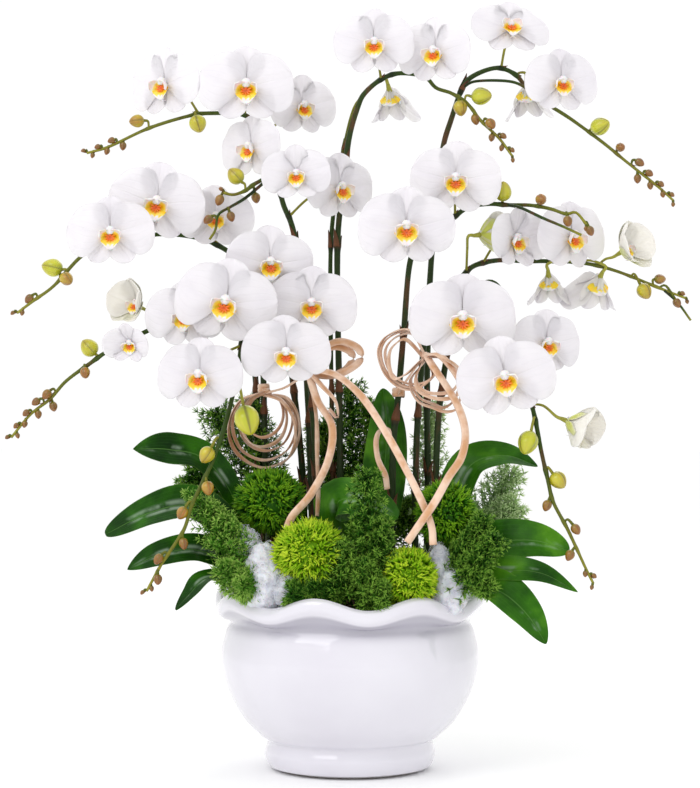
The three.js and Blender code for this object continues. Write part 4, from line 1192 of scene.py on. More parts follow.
@dataclass(frozen=True)
class Bloom:
    """A moth orchid bloom: three sepals behind, two broad petals, a lobed lip and a column."""

    place: Place

    @staticmethod
    def lobe_tone(across: Array, along: Array) -> Array:
        """Red root, yellow shoulders and white tip of the lip's middle lobe.

        Args:
            across: places across the lobe.
            along: places along it.

        Returns:
            The tone mark of each place.
        """
        root = np.clip(1.1 - along / 0.34, 0, 1) * (1 - 0.5 * np.abs(across))
        ragged = 0.36 + 0.09 * np.cos(3.2 * math.pi * across)
        shoulders = 0.52 * np.exp(-(((along - 0.36) / ragged) ** 6)) * (0.8 + 0.2 * np.abs(across))
        return np.maximum(root, shoulders)

    @staticmethod
    def side_tone(across: Array, along: Array) -> Array:
        """Yellow root and white rim of a side lobe."""
        return np.clip(0.68 - 1.1 * along, 0.02, 1) * (1 - 0.3 * np.abs(across))

    def lip(self, form: Form, span: float) -> None:
        """Adds the lip, its callus and tendrils, and the column.

        Args:
            form: where it goes, in the bloom's own frame.
            span: the bloom's span.
        """
        tones = (self.lobe_tone, self.lobe_tone)
        base = (0, -0.02, 0.005)
        tip, heading = MIDDLE_LOBE.grow(form, LIP_TURN, span, tones, Slot.LIP, base, seeded=0.4)
        tones = (self.side_tone, self.side_tone)
        curl = np.linspace(0, 1, 7)[:, None]
        reach = span * TENDRIL
        for sign, turn in SIDE_LOBE_TURNS:
            base = (sign * 0.045, -0.03, 0.02)
            SIDE_LOBE.grow(form, turn, span, tones, Slot.LIP, base, seeded=0.6)
            path = tip + heading * reach * (curl - 0.2) * (1 - 0.4 * curl)
            path = path + np.array([sign, 0.6, -0.9]) * reach * 0.8 * curl**1.7
            form.tube(path, np.linspace(0.5, 0.25, 7), 0.04, Slot.LIP, 5)
        height = np.array(COLUMN_HEIGHTS) * span
        radius = np.array(COLUMN_RADII) * span
        centre = np.stack([0 * height, 0.036 * span + 0.1 * height, height], axis=-1)
        form.tube(centre, radius, np.array(COLUMN_TONES), Slot.LIP, 16)
        share = np.linspace(0, 1, len(STAR_RADII))
        for turn in np.radians(STAR_TURNS):
            ray = np.array([0.062 * math.cos(turn), 0.0527 * math.sin(turn), 0.045])
            centre = (np.array([0, -0.036, 0.05]) + np.outer(share, ray)) * span
            form.tube(centre, np.array(STAR_RADII) * span, 1.0 - 0.2 * share, Slot.LIP, 7)

    @staticmethod
    def neck(form: Form, radii: tuple[float, float]) -> None:
        """Adds the short neck behind the face.

        Args:
            form: where it goes, in the bloom's own frame.
            radii: its back and front radius.
        """
        depth = np.linspace(-NECK, 1, 6)
        line = np.stack([0 * depth, 0 * depth, depth], axis=-1)
        form.tube(line, np.linspace(*radii, 6), FRESH, Slot.STEM)

    def add(self, form: Form) -> None:
        """Adds the whole bloom where it grows.

        Args:
            form: where it goes.
        """
        span = BLOOM_SPAN * self.place.size
        form.place = self.place.matrix()
        fold = {"tilt": self.place.cup, "narrow": 1 - self.place.cup / 190}
        tones = (0.02, AGED_BACK)
        TOP_SEPAL.grow(form, TOP_SEPAL_TURN, span, tones, **fold)
        for turn in SIDE_SEPAL_TURNS:
            SIDE_SEPAL.grow(form, turn, span, tones, **fold)
        for turn in PETAL_TURNS:
            BROAD_PETAL.grow(form, turn, span, (0.0, 0.6 * AGED_BACK), **fold)
        self.lip(form, span)
        self.neck(form, (2.0, 3.4))
        form.place = np.eye(4)

    def open(self, form: Form) -> None:
        """Adds the bloom while it opens: sepals and petals cupped round a short lip.

        Args:
            form: where it goes.
        """
        span = BLOOM_SPAN * self.place.size
        form.place = self.place.matrix()
        for turn in OPENING_SEPAL_TURNS:
            OPENING_SEPAL.grow(form, turn, span, (0.3, 0.95), tilt=0.6 * self.place.cup)
        for turn in OPENING_PETAL_TURNS:
            OPENING_PETAL.grow(form, turn, span, (0.02, 0.06), tilt=0.55 * self.place.cup)
        self.lip(form, span)
        self.neck(form, (1.9, 3.2))
        form.place = np.eye(4)


@dataclass(frozen=True)
class Flowers(Growth):
    """One open bloom, or a few that hang together."""

    places: Sequence[Place]
    looks: ClassVar[Looks] = BLOOM_LOOKS

    def shape(self, form: Form) -> None:
        """Adds every bloom."""
        for place in self.places:
            Bloom(place).add(form)


TIP_BUD = 10  # the longest bud that sits close to its stem
BUD_SIDES = 36


@dataclass(frozen=True)
class Bud:
    """A bud: its middle, its length and the place on its stem or fork that it grows from."""

    centre: Point
    length: float
    start: float
    fork: int | None = None

    def add(self, form: Form, route: Route) -> None:
        """Adds the bud and its stalk.

        Args:
            form: the spike.
            route: the stem that carries it.
        """
        root = smooth(route, [self.start])[0]
        out = np.array(self.centre) - root
        shortest = 0.5 * self.length + (3.5 if self.length > TIP_BUD else 1.5)
        reach = max(float(np.linalg.norm(out)), shortest)
        out = unit(out)
        middle = root + out * reach
        level = math.sqrt(max(0.0, 1 - out[2] ** 2))
        out = unit(out - np.array([0, 0, level * np.interp(self.length, [12, 22], [1.0, 0.2])]))
        neck = middle - out * 0.45 * self.length
        arch = np.array([0, 0, 0.3 * (reach - 0.3 * self.length)]) - out * 0.12 * self.length
        stalk = smooth([root, (root + neck) / 2 + arch, neck], np.linspace(0, 2, 9))
        ripe = float(np.interp(self.length, [11, 14, 20, 24], [0.1, 0.35, 0.78, 0.95]))
        form.tube(stalk, np.linspace(1.0, 1.6, 9), 0.45 + 0.4 * ripe, Slot.STEM, 8)
        share = np.linspace(0, 1, 19)
        stout = float(np.interp(self.length, [12, 20, 24], [0.40, 0.45, 0.39]))
        swell = np.sin(math.pi * share**0.9) ** 0.56 * stout * self.length
        swell = np.maximum(swell * (1.04 - 0.12 * share), 0.25)
        turn = around(BUD_SIDES)
        seams = np.exp(-((np.sin(1.5 * turn) / 0.24) ** 2))
        groove = 1 - 0.09 * seams * share[:, None] ** 0.4
        _, side, up = frames(np.array([neck, middle, middle + out]))
        axis = middle + out * ((share[:, None] - 0.5) * self.length)
        radii = (swell[:, None] * groove)[..., None]
        rings = axis[:, None] + radii * spokes(side[:1], up[:1], turn)
        form.loft(rings, ripe, Slot.BUD)


@dataclass(frozen=True)
class Fork:
    """A side branch, or a second stem, with its root and tip radii."""

    route: Route
    radii: tuple[float, float]


@dataclass(frozen=True)
class Spike(Growth):
    """A flower spike: its stem, forks, held blooms, buds and half-open flowers."""

    route: Route
    forks: tuple[Fork, ...] = ()
    holds: tuple[tuple[str, float], ...] = ()
    buds: tuple[Bud, ...] = ()
    opening: tuple[tuple[Place, float], ...] = ()
    radii: tuple[float, float] = (3.7, 1.3)
    looks: ClassVar[Looks] = SPIKE_LOOKS
    joint_spacing: ClassVar[float] = 82
    tip_buds: ClassVar[int] = 9
    tip_size: ClassVar[float] = 5.4
    tip_growth: ClassVar[float] = 0.8  # from each tip bud to the next one below it

    @staticmethod
    def scale(
        form: Form, at: Array, heading: Array, out: Array, length: float, radius: float,
    ) -> None:
        """Adds a small brown scale that clasps a stem.

        Args:
            form: the spike.
            at: the stem's middle at the scale's root.
            heading: the stem's direction.
            out: the way that the scale faces.
            length: its length.
            radius: the stem's radius.
        """
        out = unit(out - heading * out.dot(heading))
        side = np.cross(out, heading)
        share = np.linspace(0, 0.98, 8)[:, None]
        middle = at + out * (radius * 0.9 + 0.35 + 1.4 * share**2) + heading * length * share
        half = 1.05 * radius * (1 - share**1.6) + 0.15
        lift = -0.75 * half * crosswise(9) ** 2
        sides = np.broadcast_to(side, (8, 3))
        ups = np.broadcast_to(out, (8, 3))
        browns = (0.5 * share - 0.9, 0.5 * share - 0.9)
        form.blade(middle, sides, ups, half, lift, 0.7, browns, Slot.STEM)

    def stem(
        self, form: Form, route: Route, radii: tuple[float, float], joints: Sequence[float],
    ) -> None:
        """Adds one stem with swollen joints and brown sheaths.

        Args:
            form: the spike.
            route: the points that it passes through.
            radii: radius at its root and its tip.
            joints: places of the stalks that it carries.
        """
        places = paced(route, 3.2)
        points = smooth(route, places)
        share = places / (len(route) - 1)
        radius = radii[0] + (radii[1] - radii[0]) * share
        run = travelled(points)
        limit = float(np.interp(min(joints, default=places[-1]), places, run))
        rings = np.array([])
        if len(route) > 8:  # a stem that stands in the mix, and not a side branch
            rings = np.arange(form.rng.uniform(70, 95), limit - 25, self.joint_spacing)
        rings = rings + form.rng.normal(0, 6, len(rings))
        knots = np.concatenate([rings, np.interp(list(joints), places, run)])
        swell = sum((np.exp(-(((run - knot) / 3.5) ** 2)) for knot in knots), np.zeros(len(run)))
        radius = radius * (1 + 0.28 * swell)
        radius = radius * (1 + 0.03 * np.sin(run / 9 + form.rng.uniform(0, 6)))
        tone = np.interp(share, [0, 0.3, 0.55, 0.8, 1], [0.02, 0.1, 0.26, 0.52, 0.78])
        tone = tone - 0.35 * np.clip(swell, 0, 1) * (share < 0.6)
        form.tube(points, radius, tone, Slot.STEM, 14)
        headings = unit(np.gradient(points, axis=0))
        for index, knot in enumerate(rings):
            near = int(np.argmin(abs(run - knot)))
            turn = LEAF_TURN * index
            out = np.array([math.cos(turn), math.sin(turn) - 0.6, 0])
            for sign, length in ((1, 19), (-1, 12)):
                self.scale(form, points[near], headings[near], sign * out, length, radius[near])

    def stalk(self, form: Form, start: float, place: Place, clearance: float) -> None:
        """Adds the curved stalk of one bloom.

        Args:
            form: the spike.
            start: place on the stem.
            place: the bloom's place.
            clearance: distance from the stalk's end to the bloom's neck.
        """
        root = smooth(self.route, [start])[0]
        end = place.behind(NECK + clearance)
        behind = place.behind(NECK + clearance + 8)
        rise = np.array([0, 0, 0.12 * np.linalg.norm(behind - root)])
        route = [root, (root + behind) / 2 + rise, behind, end]
        places = paced(route, 2.5)
        radius = np.interp(places, [0, 0.3, 1.5, 3], [1.7, 1.25, 1.4, 1.95])
        tone = np.linspace(0.66, 0.92, len(places))
        form.tube(smooth(route, places), radius, tone, Slot.STEM)
        last = len(self.route) - 1.0
        back, ahead = smooth(self.route, [max(start - 0.1, 0), min(start + 0.1, last)])
        thick = self.radii[0] + (self.radii[1] - self.radii[0]) * start / last
        self.scale(form, root, unit(ahead - back), route[1] - root + 1e-3, 6.5, thick)

    def tip(self, form: Form, first: float) -> None:
        """Adds tiny buds on alternate sides of the tip.

        Args:
            form: the spike.
            first: place on the stem of the first of them.
        """
        last = len(self.route) - 1.0
        places = paced(self.route, 2.0)
        points = smooth(self.route, places)
        picked = np.flatnonzero(places > min(first, last - 0.35))[::-4][: self.tip_buds]
        for index, near in enumerate(picked):
            heading = unit(points[min(near + 1, len(points) - 1)] - points[near - 1])
            side = unit(np.cross(heading, (0, 1, 0.2))) * (1 if index % 2 else -1)
            size = self.tip_size + self.tip_growth * index
            out = unit(side + 0.9 * heading + form.rng.normal(0, 0.25, 3))
            centre = tuple(points[near] + out * (0.4 * size + 1.6))
            Bud(centre, size, float(places[near])).add(form, self.route)
            self.scale(form, points[near], heading, side, 4.5, 1.4)

    def shape(self, form: Form) -> None:
        """Adds the stems, stalks, buds and half-open flowers.

        Args:
            form: where it goes.
        """
        budded = [bud.start for bud in self.buds if bud.fork is None]
        joints = [start for _, start in (*self.holds, *self.opening)] + budded
        self.stem(form, self.route, self.radii, joints)
        for fork in self.forks:
            self.stem(form, fork.route, fork.radii, [])
        for held, start in self.holds:
            for place in BLOOMS[held].places:
                self.stalk(form, start, place, 0.35)
        for bud in self.buds:
            bud.add(form, self.route if bud.fork is None else self.forks[bud.fork].route)
        self.tip(form, max(budded) + 0.5)
        for place, start in self.opening:
            self.stalk(form, start, place, -2)
            Bloom(place).open(form)


# ---- foliage
FORWARD: Point = (0, -0.8, 0.6)


@dataclass(frozen=True)
class Leaf:
    """A strap leaf: midrib, half width, facing, pointedness, root width and widest place."""

    route: Route
    half: float
    face: Point = (0, 0, 1)
    point: float = 0.5
    root: float = 0.34
    widest: float = 0.5

    def add(self, form: Form) -> None:
        """Adds the leaf to its rosette.

        Args:
            form: where it goes.
        """
        share = np.clip(np.sin(np.linspace(0, math.pi / 2, 40)), 0, 0.9992)
        middle = smooth(self.route, share * (len(self.route) - 1))
        heading = unit(np.gradient(middle, axis=0))
        side = unit(np.cross(heading, self.face))
        sway = form.rng.uniform(-0.22, 0.22)
        up = np.cross(side, heading)
        side = unit(side + up * sway * share[:, None])
        up = np.cross(side, heading)
        low = np.sin(math.pi / 2 * np.clip(share / self.widest, 0, 1)) ** 1.2
        rise = self.root + (1 - self.root) * low
        high = np.clip((share - self.widest) / (1 - self.widest), 0, 1)
        fall = (1 - high**2.1) ** self.point
        half = self.half * np.where(share < self.widest, rise, fall)
        across = crosswise(29)[None]
        along = share[:, None]
        channel = (0.2 + 0.9 * (1 - along) ** 3) * np.abs(across) ** 1.4
        lift = half[:, None] * channel
        lift = lift - 1.1 * np.exp(-((across / 0.09) ** 2)) * (1 - along) ** 0.3
        phase = form.rng.uniform(0, 6)
        lift = lift + 1.1 * np.sin(11 * along + phase + across) * np.abs(across) ** 2 * along
        form.blade(middle, side, up, half, lift, 2.2, (0.0, 1.0))


@dataclass(frozen=True)
class Rosette(Growth):
    """Strap leaves on a short stem of clasping leaf bases."""

    foot: tuple[float, float]
    top: float
    leaves: tuple[Leaf, ...]
    looks: Looks = LEAF_LOOKS

    def shape(self, form: Form) -> None:
        """Adds the stem of clasping leaf bases and the leaves.

        Args:
            form: where it goes.
        """
        middle = np.linspace((*self.foot, ROOT), (*self.foot, self.top), 16)
        sheaths = 1 + 0.09 * ((middle[:, 2] / 11) % 1)
        form.tube(middle, np.linspace(7.6, 5.4, 16) * sheaths, 0.7, sides=20)
        for leaf in self.leaves:
            leaf.add(form)


@dataclass(frozen=True)
class Tuft(Growth):
    """A round head of short fat needles in small stars, on a stem."""

    at: Point
    radius: float
    foot: tuple[float, float]
    stretch: Point = (1, 1, 1)
    looks: Looks = DEEP_LOOKS
    stars: int = 200
    needles: int = 10  # in each star
    lengths: tuple[float, float] = (0.24, 0.42)  # of needles, as shares of the radius
    core: float = 0.72
    thick: float = 1.2

    def shape(self, form: Form) -> None:
        """Adds the uneven core, its stars of needles and the stem.

        Args:
            form: where it goes.
        """
        rng = form.rng
        centre = np.array(self.at, float)
        stretch = np.array(self.stretch)
        corners, faces = ball_template(4)
        waves = rng.integers(1 << 30)
        uneven = 1 + 0.06 * ripple(corners * 10, 9, np.random.default_rng(waves))
        core = corners * self.core * self.radius * uneven[:, None] * stretch
        form.ball((core + centre, faces), 0.32)
        index = np.arange(self.stars) + 0.5
        polar = np.arccos(1 - 2 * index / self.stars)
        out = rim(GOLDEN_TURN * index, np.sin(polar), np.cos(polar))
        out = unit(out + rng.normal(0, 0.05, out.shape))
        depth = 0.66 + 0.08 * rng.random((self.stars, 1))
        depth = depth * (1 + 0.08 * ripple(out * 10, 9, np.random.default_rng(waves)))[:, None]
        root = centre + out * self.radius * depth * stretch
        heading = unit(out[:, None] + rng.normal(0, 0.5, (self.stars, self.needles, 3)))
        length = self.radius * rng.uniform(*self.lengths, (self.stars, self.needles, 1))
        root = np.repeat(root[:, None], self.needles, axis=1)
        tip = root + heading * length
        tone = np.repeat(rng.random(self.stars), self.needles)
        form.needles(root.reshape(-1, 3), tip.reshape(-1, 3), self.thick, tone, 0.5)
        stem = smooth([(*self.foot, ROOT), (*self.foot, 190), self.at], np.linspace(0, 2, 12))
        form.tube(stem, 2.2, 0.2, sides=8)


@dataclass(frozen=True)
class Fern(Growth):
    """Feathery sprays from one root: slim ribs with side shoots, set with fine needles."""

    foot: tuple[float, float]
    reach: float
    sprays: tuple[Route, ...]
    shoots: int = 42
    bare: float = 1.0
    looks: Looks = SHADED_FERN_LOOKS
    needles: int = 9  # at each station along a shoot
    gap: float = 6.0  # between two stations
    lengths: tuple[float, float] = (7.4, 12.0)
    thin: float = 0.58

    def spray(self, form: Form, route: Route, reach: float) -> None:
        """Adds one spray.

        Args:
            form: the fern.
            route: its rib.
            reach: length of its longest shoots.
        """
        rng = form.rng
        rib = smooth(route, paced(route, 3))
        form.tube(rib, np.linspace(1.4, 0.5, len(rib)), 0.3, sides=6)
        starts = np.linspace(self.bare, len(route) - 1.02, self.shoots)
        roots = smooth(route, starts)
        ahead = smooth(route, np.minimum(starts + 0.05, len(route) - 1))
        headings = unit(ahead - smooth(route, starts - 0.05))
        line = np.linspace(0, 1, 8)[:, None]
        begin, end, tones = [], [], []
        for index, (root, heading) in enumerate(zip(roots, headings)):
            share = index / self.shoots
            turn = LEAF_TURN * index + rng.normal(0, 0.2)
            side = unit(np.cross(heading, (math.cos(turn), math.sin(turn), 0.3)))
            length = reach * (1.15 - 0.68 * share**1.5) * rng.uniform(0.72, 1.0)
            path = root + side * length * 0.88 * line
            path = path + heading * length * (0.3 * line + 0.42 * line**2)
            path = path + np.array([0, 0, -0.1]) * length * line**2
            form.tube(path, np.linspace(0.5, 0.25, 8), 0.4, sides=4)
            count = max(4, int(length / self.gap))
            spots = np.linspace(0.12, 1, count)
            stations = [np.interp(spots, line[:, 0], path[:, axis]) for axis in range(3)]
            stations = np.stack(stations, axis=-1)[:, None]
            fan = rng.normal(0, 1, (count, self.needles, 3)) + 0.8 * unit(path[-1] - path[0])
            size = rng.uniform(*self.lengths, (count, self.needles, 1))
            size = size * (1.1 - 0.4 * spots[:, None, None])
            begin.append(np.repeat(stations, self.needles, axis=1).reshape(-1, 3))
            end.append((stations + unit(fan) * size).reshape(-1, 3))
            tones.append(np.repeat(0.9 * spots + rng.uniform(-0.15, 0.1), self.needles))
        begin, end, tones = (np.concatenate(parts) for parts in (begin, end, tones))
        form.needles(begin, end, self.thin, tones, 0.5)

    def shape(self, form: Form) -> None:
        """Adds the main spray and the shorter ones.

        Args:
            form: where it goes.
        """
        for index, route in enumerate(self.sprays):
            full = ((*self.foot, ROOT), *route)
            self.spray(form, full, 0.8 * self.reach if index else self.reach)


# ---- fibre and ribbons
@dataclass(frozen=True)
class FibreTuft(Growth):
    """Teased white fibre: soft lumps with loose curled strands."""

    lumps: tuple[tuple[Point, Point], ...]
    strands: int = 1500
    looks: ClassVar[Looks] = FIBRE_LOOKS

    def shape(self, form: Form) -> None:
        """Adds the lumps and the strands that stand out of them.

        Args:
            form: where it goes.
        """
        rng = form.rng
        corners, faces = ball_template(5)
        for centre, radii in self.lumps:
            body = corners * np.array(radii)
            puffs = 0.09 * ripple(body, 30, rng) + 0.045 * ripple(body, 12, rng)
            body = body * (0.95 + puffs + 0.022 * ripple(body, 4.5, rng))[:, None]
            form.ball((body + np.array(centre), faces))
        for index in range(self.strands):
            centre, radii = self.lumps[index % len(self.lumps)]
            out = unit(rng.normal(size=3) + np.array([0, -0.5, 0.25]))
            root = np.array(centre) + out * np.array(radii) * 0.95
            heading = unit(out + rng.normal(0, 0.9, 3))
            other = unit(np.cross(heading, out + 0.01))
            turn = np.linspace(0, rng.uniform(1.5, 5.0), 7)[:, None]
            curl = rng.uniform(1.2, 4.2)
            path = root + heading * np.sin(turn) * curl + other * (1 - np.cos(turn)) * curl * 0.8
            path = path + out * turn * rng.uniform(0.0, 0.6)
            form.tube(path, np.linspace(0.26, 0.14, 7), rng.random(), sides=4)


@dataclass(frozen=True)
class Strip:
    """One ribbon length: the way its width faces, its route, and sizes of loops behind it."""

    face: Point
    route: Route
    copies: tuple[float, ...] = ()


@dataclass(frozen=True)
class Bow:
    """A ribbon bow: knots, a band round a stem, loops and tails."""

    knots: tuple[Point, ...]
    band: Point
    stem: float
    strips: tuple[Strip, ...]
    width: float = 10
    thickness: float = 0.4
    knot_width: float = 6.5
    knot_turns: tuple[tuple[float, float], ...] = ((0.3, 4.6), (-0.5, 4.1), (1.2, 3.6))
    band_width: float = 7
    band_rises: tuple[float, ...] = (-2.2, 1.6)
    curled: float = 0.41  # half width as a share of the flat width, once curled
    cupped: float = 0.13  # how far the middle stands up, as a share of the flat width

    def ribbon(self, form: Form, route: Route | Array, face: Point, width: float) -> float:
        """Adds one length of ribbon.

        Args:
            form: the bow.
            route: its middle line.
            face: the way its width runs.
            width: its width.

        Returns:
            Its length.
        """
        places = paced(route, 2.0)
        middle = smooth(route, places)
        heading = unit(np.gradient(middle, axis=0))
        across = unit(np.array(face) - heading * (heading @ np.array(face))[:, None])
        up = np.cross(heading, across)
        columns = crosswise(9)
        run = travelled(middle)
        lift = self.cupped * width * (1 - columns**2)
        lift = lift + 0.3 * np.sin(run / 9)[:, None] * columns
        half = np.full(len(middle), self.curled * width)
        tone = form.rng.uniform(0, 0.12)
        # The lower side gets a darker mark, as painted shade.
        form.blade(middle, across, up, half, lift, self.thickness, (tone, tone + 0.15))
        return float(run[-1])

    def knot(self, form: Form, at: Point) -> float:
        """Adds a knot of crossed turns.

        Args:
            form: where it goes.
            at: the knot's middle.

        Returns:
            The length of ribbon in it.
        """
        total = 0.0
        for tilt, size in self.knot_turns:
            ring = rim(around(12), size, 0.0) * (1, 0.8, 1)
            cos, sin = math.cos(tilt), math.sin(tilt)
            ring = ring @ np.array([[cos, 0, -sin], [0, 1, 0], [sin, 0, cos]]) + np.array(at)
            total += self.ribbon(form, ring, (sin, 0, cos), self.knot_width)
        return total

    def tie(self, form: Form) -> float:
        """Adds the knots, loops, tails and bands.

        Args:
            form: where it goes.

        Returns:
            The length of ribbon in it.
        """
        length = sum(self.knot(form, knot) for knot in self.knots)
        for strip in self.strips:
            route = np.array(strip.route, float)
            length += self.ribbon(form, route, strip.face, self.width)
            stray = np.linspace(0, 1, len(route))[:, None]
            for size in strip.copies:
                further = route[0] + (route - route[0]) * size
                further = further + form.rng.normal(0, 1.2, further.shape) * stray
                further[:, 1] += 20.0 * (1 - size) + 1.0
                length += self.ribbon(form, further, strip.face, self.width)
        turn = np.linspace(0, FULL_TURN, 17)
        circle = rim(turn, 1.0, 0.05 * turn) * (self.stem + 1.6) + np.array(self.band)
        for rise in self.band_rises:
            length += self.ribbon(form, circle + [0, 0, rise], (0, 0, 1), self.band_width)
        return length

    def build(self, node: str, seed: int) -> bpy.types.Object:
        """Makes the bow.

        Args:
            node: the solid that it stands for.
            seed: seed of its small variations.

        Returns:
            The finished piece.
        """
        form = Form(seed)
        length = self.tie(form)
        made = form.piece(node, RIBBON_LOOKS)
        return made


# ---- bowl and mix
@dataclass(frozen=True)
class Bowl(Growth):
    """Scalloped glazed bowl; a profile row is a radius, a height and a share of the scallop."""

    outside: Route
    inside: Route
    sides: int = 240
    scallops: int = 8
    crest: float = math.radians(-104.5)
    rise: float = 6
    flare: float = 1.6
    looks: ClassVar[Looks] = GLAZED_LOOKS

    def rings(self, profile: Route, steps: int) -> Array:
        """Rings of the wall.

        Args:
            profile: rows of the wall.
            steps: rings for each row.

        Returns:
            The rings' corners.
        """
        rows = smooth(profile, np.linspace(0, len(profile) - 1, steps * (len(profile) - 1) + 1))
        turn = around(self.sides)
        wave = np.cos(self.scallops * (turn - self.crest)) * np.clip(rows[:, 2:], 0, 1)
        return rim(turn, rows[:, :1] + self.flare * wave, rows[:, 1:2] + self.rise * wave)

    def shape(self, form: Form) -> None:
        """Adds the wall, from the foot over the lip to the inside."""
        rings = np.concatenate([self.rings(self.outside, 8), self.rings(self.inside, 6)[1:]])
        form.loft(rings)


@dataclass(frozen=True)
class Mix(Growth):
    """Potting mix: an uneven crown with bark chips."""

    radius: float = 118
    edge: float = 158
    crown: float = 170
    skirt: tuple[tuple[float, float], ...] = ((84, 42), (104, 60), (122, 108))
    chips: int = 520
    sides: int = 120
    looks: ClassVar[Looks] = BARK_LOOKS

    def surface(self, radius: Array, ground: Array) -> Array:
        """Height of the crown at each distance from the middle."""
        slope = (self.crown - self.edge) * (1 - (radius / self.radius) ** 2)
        return self.edge + slope + ground

    def shape(self, form: Form) -> None:
        """Adds the body with its crown, and the chips on it.

        Args:
            form: where it goes.
        """
        rng = form.rng
        below, heights = np.array(self.skirt, float).T
        radii = np.concatenate([below, np.linspace(self.radius, 2, 46)])[:, None]
        rings = rim(around(self.sides), radii, 0.0)
        relief = 1.8 * ripple(rings, 34, rng) + 1.1 * ripple(rings, 9, rng)
        rings[..., 2] = self.surface(np.minimum(radii, self.radius), relief)
        rings[: len(below), :, 2] = heights[:, None]
        form.loft(rings, 0.35)
        corners, faces = ball_template(1)
        chunk = corners * (1 + 0.25 * rng.normal(size=(len(corners), 1)))
        far = self.radius * np.sqrt(rng.random(self.chips)) * 0.97
        spots = rim(rng.uniform(0, FULL_TURN, self.chips), far, self.surface(far, 1.0 + 0 * far))
        spots[:, 2] += rng.uniform(-1, 2.5, self.chips)
        sizes = rng.uniform((3, 2, 1), (8.5, 5, 2.6), (self.chips, 3))
        first = unit(rng.normal(size=(self.chips, 3)) * [1, 1, 0.35])
        second = unit(np.cross(first, rng.normal(size=(self.chips, 3)) * [0.3, 0.3, 1]))
        axes = np.stack([first, second, np.cross(first, second)], axis=-1) * sizes[:, None, :]
        places = np.concatenate([axes, spots[..., None]], axis=-1)
        form.scatter((chunk, faces), places, rng.random(self.chips))


# ---- studio
@dataclass(frozen=True)
class Lamp:
    """A soft square lamp that is turned to a point of the arrangement."""

    name: str
    at: Point
    target: Point
    size: float
    power: float

    def hang(self) -> None:
        """Adds the lamp."""
        data = bpy.data.lights.new(self.name, "AREA")
        data.size = self.size
        data.energy = self.power
        lamp = bpy.data.objects.new(self.name, data)
        aim(lamp, self.at, self.target)


@dataclass(frozen=True)
class Studio:
    """Pale floor, soft light and the camera."""

    eye: Point = (0.0, -2.4, 0.385)
    lens: float = 106.45
    world: float = 1.03
    floor_radius: float = 14
    lamps: tuple[Lamp, ...] = (
        Lamp("key", (-1.6, -2.2, 2.4), (0, 0, 0.4), 2.0, 27),
        Lamp("rim", (0.7, 1.8, 2.0), (0, 0, 0.45), 1.2, 8),
    )

    def floor(self) -> None:
        """Adds a wide round pale floor."""
        mesh = bmesh.new()
        bmesh.ops.create_circle(mesh, cap_ends=True, segments=96, radius=self.floor_radius)
        data = bpy.data.meshes.new("floor")
        mesh.to_mesh(data)
        mesh.free()
        data.materials.append(PAPER.dress())
        floor = bpy.data.objects.new("floor", data)
        bpy.context.scene.collection.objects.link(floor)

    def light(self) -> None:
        """Adds the world's even light and the lamps."""
        scene = bpy.context.scene
        scene.world = bpy.data.worlds.new("studio")
        scene.world.use_nodes = True
        background = scene.world.node_tree.nodes["Background"]
        background.inputs["Color"].default_value = (1.0, 1.0, 1.0, 1)
        background.inputs["Strength"].default_value = self.world
        scene.view_settings.view_transform = "Standard"
        for lamp in self.lamps:
            lamp.hang()

    def camera(self) -> None:
        """Adds the camera."""
        data = bpy.data.cameras.new("camera")
        data.lens = self.lens
        data.clip_end = 100
        camera = bpy.data.objects.new("camera", data)
        aim(camera, self.eye, (self.eye[0], 0, self.eye[2]))
        bpy.context.scene.camera = camera


def aim(thing: bpy.types.Object, at: Point, target: Point) -> None:
    """Places a lamp or camera and turns it to a point.

    Args:
        thing: the lamp or camera.
        at: where it goes, in metres.
        target: what it looks at, in metres.
    """
    bpy.context.scene.collection.objects.link(thing)
    thing.location = at
    direction = Vector(target) - Vector(at)
    thing.rotation_euler = direction.to_track_quat("-Z", "Y").to_euler()


class Seed(int, Enum):
    """First seed of each kind of piece."""

    BOWL = 3
    MIX = 5
    BLOOM = 100
    ROSETTE = 200
    TUFT = 300
    FERN = 400
    FIBRE = 500
    BOW = 600


def build_all(kind: Mapping[str, Growth | Bow], first: Seed) -> None:
    """Builds each piece of a table, with seeds that count up from the first."""
    for index, (node, growth) in enumerate(kind.items()):
        growth.build(node, first + index)


def main() -> None:
    """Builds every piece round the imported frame."""
    logging.basicConfig(level=logging.INFO, format="%(message)s")
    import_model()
    studio = Studio()
    studio.camera()
    studio.floor()
    studio.light()
    build_all({"bowl": BOWL}, Seed.BOWL)
    build_all({"potting_mix": MIX}, Seed.MIX)
    for node, spike in SPIKES.items():
        spike.build(node, len(node) + int(abs(spike.route[0][0])))
    build_all(BLOOMS, Seed.BLOOM)
    build_all(ROSETTES, Seed.ROSETTE)
    build_all(TUFTS, Seed.TUFT)
    build_all(FERNS, Seed.FERN)
    build_all(FIBRES, Seed.FIBRE)
    build_all(BOWS, Seed.BOW)


